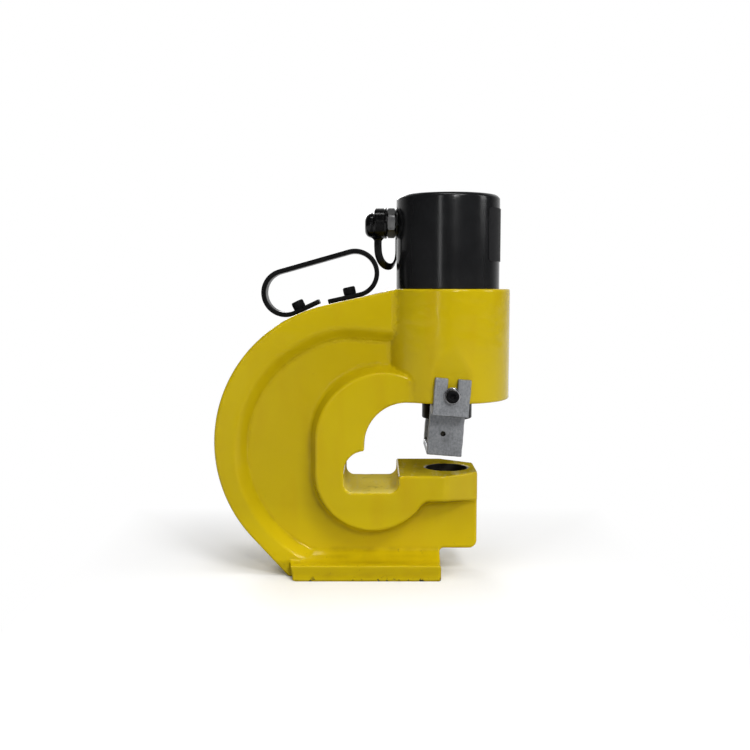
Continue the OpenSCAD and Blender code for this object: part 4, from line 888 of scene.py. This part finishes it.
# Lip seals: a notched ring in the piston's groove and a scraper under the bush. Each row has its radius and its height
# over the solid's foot or top.
seals = {"lip_seal": {"node": "piston_seal", "body": "ram", "foot": [(34.1, 0), (39.9, 0)], "inside": [], "edge": 0.35,
                      "top": [(39.95, -0.3), (38.2, 0), (37, -3.4), (35.6, 0), (34.06, -0.3)]},
         "scraper": {"node": "ram_wiper", "body": "frame", "top": [(29.9, 0), (24, 0)], "inside": [(23.4, 2.6)],
                     "foot": [(22.6, 0), (24.2, 0.9), (25.4, 3), (26.4, 0), (29.9, 0)], "edge": 0.3}}
for name, seal in seals.items():
    low, high = (v.z * 1000 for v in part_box(seal["node"]))
    profile = [(r, base + up) for side, base in (("foot", low), ("top", high), ("inside", low)) for r, up in seal[side]]
    points, faces = turned(rounded(profile, seal["edge"], closed=True, steps=3), 128, ring=True)
    piece(name, points + ramAxis, faces, "rubber", seal["body"], (seal["node"],))
print("stage: coupler and inner pieces")

# Floor, white surroundings and soft light. The floor's fades are in metres.
ground = {"reach": 6.0, "cells": 12, "back": (0.04, 0.28), "aside": (0.16, 0.32), "front": (-0.45, -0.9)}


def floorFinish():
    # Pale and plain near the object. Further away, what is seen of it runs into the white around,
    # and in reflections only behind the object and beside it.
    f = Finish("floor")
    rays = f.node("LightPath").outputs
    pale = f.mix(f.ramp(f.noise(3, 2), 0.3, 0.7), (0.95, 0.95, 0.95), (0.97, 0.97, 0.97))
    grey = f.mix(rays["Is Glossy Ray"], (0.5, 0.5, 0.5), (0.2, 0.2, 0.2))
    f.set(Base_Color=f.mix(rays["Is Camera Ray"], grey, pale), Roughness=0.8)
    aside = f.node("Math", [(0, f.along("X"))], operation="ABSOLUTE").outputs[0]
    far = f.larger(f.ramp(f.along("Y"), *ground["back"]), f.ramp(aside, *ground["aside"]))
    straight = f.larger(rays["Is Camera Ray"], rays["Is Transmission Ray"])
    seen = f.times(far, f.larger(straight, rays["Is Glossy Ray"]))
    seen = f.larger(seen, f.times(straight, f.ramp(f.along("Y"), *ground["front"])))
    white = f.node("Emission", [("Color", (1, 1, 1, 1)), ("Strength", 1.0)])
    both = f.node("MixShader", [(0, seen), (1, f.shader.outputs[0]), (2, white.outputs[0])])
    f.tree.links.new(both.outputs[0], f.tree.nodes["Material Output"].inputs["Surface"])
    return f.done()


u = np.linspace(-ground["reach"], ground["reach"], ground["cells"] + 1)
gx, gy = np.meshgrid(u, u, indexing="ij")
n = ground["cells"] + 1
i, j = np.meshgrid(np.arange(n - 1), np.arange(n - 1), indexing="ij")
quads = np.stack([i * n + j, (i + 1) * n + j, (i + 1) * n + j + 1, i * n + j + 1], 2).reshape(-1, 4)
floorMesh = bpy.data.meshes.new("floor")
floorMesh.from_pydata(np.stack([gx, gy, 0 * gx], 2).reshape(-1, 3).tolist(), [], quads.tolist())
floorMesh.materials.append(floorFinish())
floor = show("floor", floorMesh)

# Surroundings: white where they are looked at, and in reflections white behind the object and dimmer in front of it
sky = {"soft": 0.25, "front": 0.06, "fade": (0.25, 1.0)}
world = bpy.data.worlds.new("surroundings")
bpy.context.scene.world = world
world.use_nodes = True
tree = world.node_tree
tree.nodes.clear()


def skyNode(kind, links, **values):
    return addNode(tree, kind, links, **values).outputs[0]


def larger(a, b):
    return skyNode("Math", [(0, a), (1, b)], operation="MAXIMUM")


rays = addNode(tree, "LightPath").outputs
generated = addNode(tree, "TexCoord").outputs["Generated"]
way = addNode(tree, "SeparateXYZ", [(0, generated)])
behind = skyNode("MapRange", [("Value", way.outputs["Y"]), ("From Min", sky["fade"][0]),
                              ("From Max", sky["fade"][1]), ("To Min", sky["front"]), ("To Max", 1.0)])
straight = larger(rays["Is Camera Ray"], rays["Is Transmission Ray"])
seen = larger(straight, rays["Is Glossy Ray"])
white = larger(straight, behind)
soft = skyNode("Background", [("Color", (1, 1, 1, 1)), ("Strength", sky["soft"])])
plain = skyNode("Background", [("Color", (1, 1, 1, 1)), ("Strength", white)])
both = skyNode("MixShader", [(0, seen), (1, soft), (2, plain)])
tree.links.new(both, addNode(tree, "OutputWorld").inputs["Surface"])

# Each lamp: place, target, width, height, watts, spread
lamps = {"key": ((0.52, -2.01, 0.95), (0.03, 0, 0.2), 0.26, 0.26, 11, 180),
         "panel": ((0.83, -1.68, 1.82), (0.05, 0, 0.15), 0.8, 0.7, 23, 180),
         "over": ((0.1, -0.7, 1.7), (0.1, -0.7, 0.0), 1.4, 0.9, 4.6, 45),
         "strip": ((-0.68, -2.0, 0.7), (0.08, 0, 0.3), 0.12, 1.0, 3.2, 180),
         "right": ((1.5, -0.3, 0.8), (0.08, 0, 0.15), 0.4, 0.6, 4.5, 180),
         "rear": ((-0.5, 1.8, 1.1), (0.0, 0, 0.25), 0.9, 0.9, 17, 180)}
for name, (place, target, wide, high, watts, spread) in lamps.items():
    data = bpy.data.lights.new(name, "AREA")
    data.shape = "RECTANGLE"
    data.size, data.size_y, data.energy, data.spread = wide, high, watts, math.radians(spread)
    lamp = show(name, data)
    lamp.location = place
    aim = np.array(target) - np.array(place)
    lamp.rotation_euler = (math.acos(-aim[2] / np.linalg.norm(aim)), 0, math.atan2(aim[0], -aim[1]) + math.pi)
bpy.context.scene.view_settings.view_transform = "Standard"
print("stage: light")
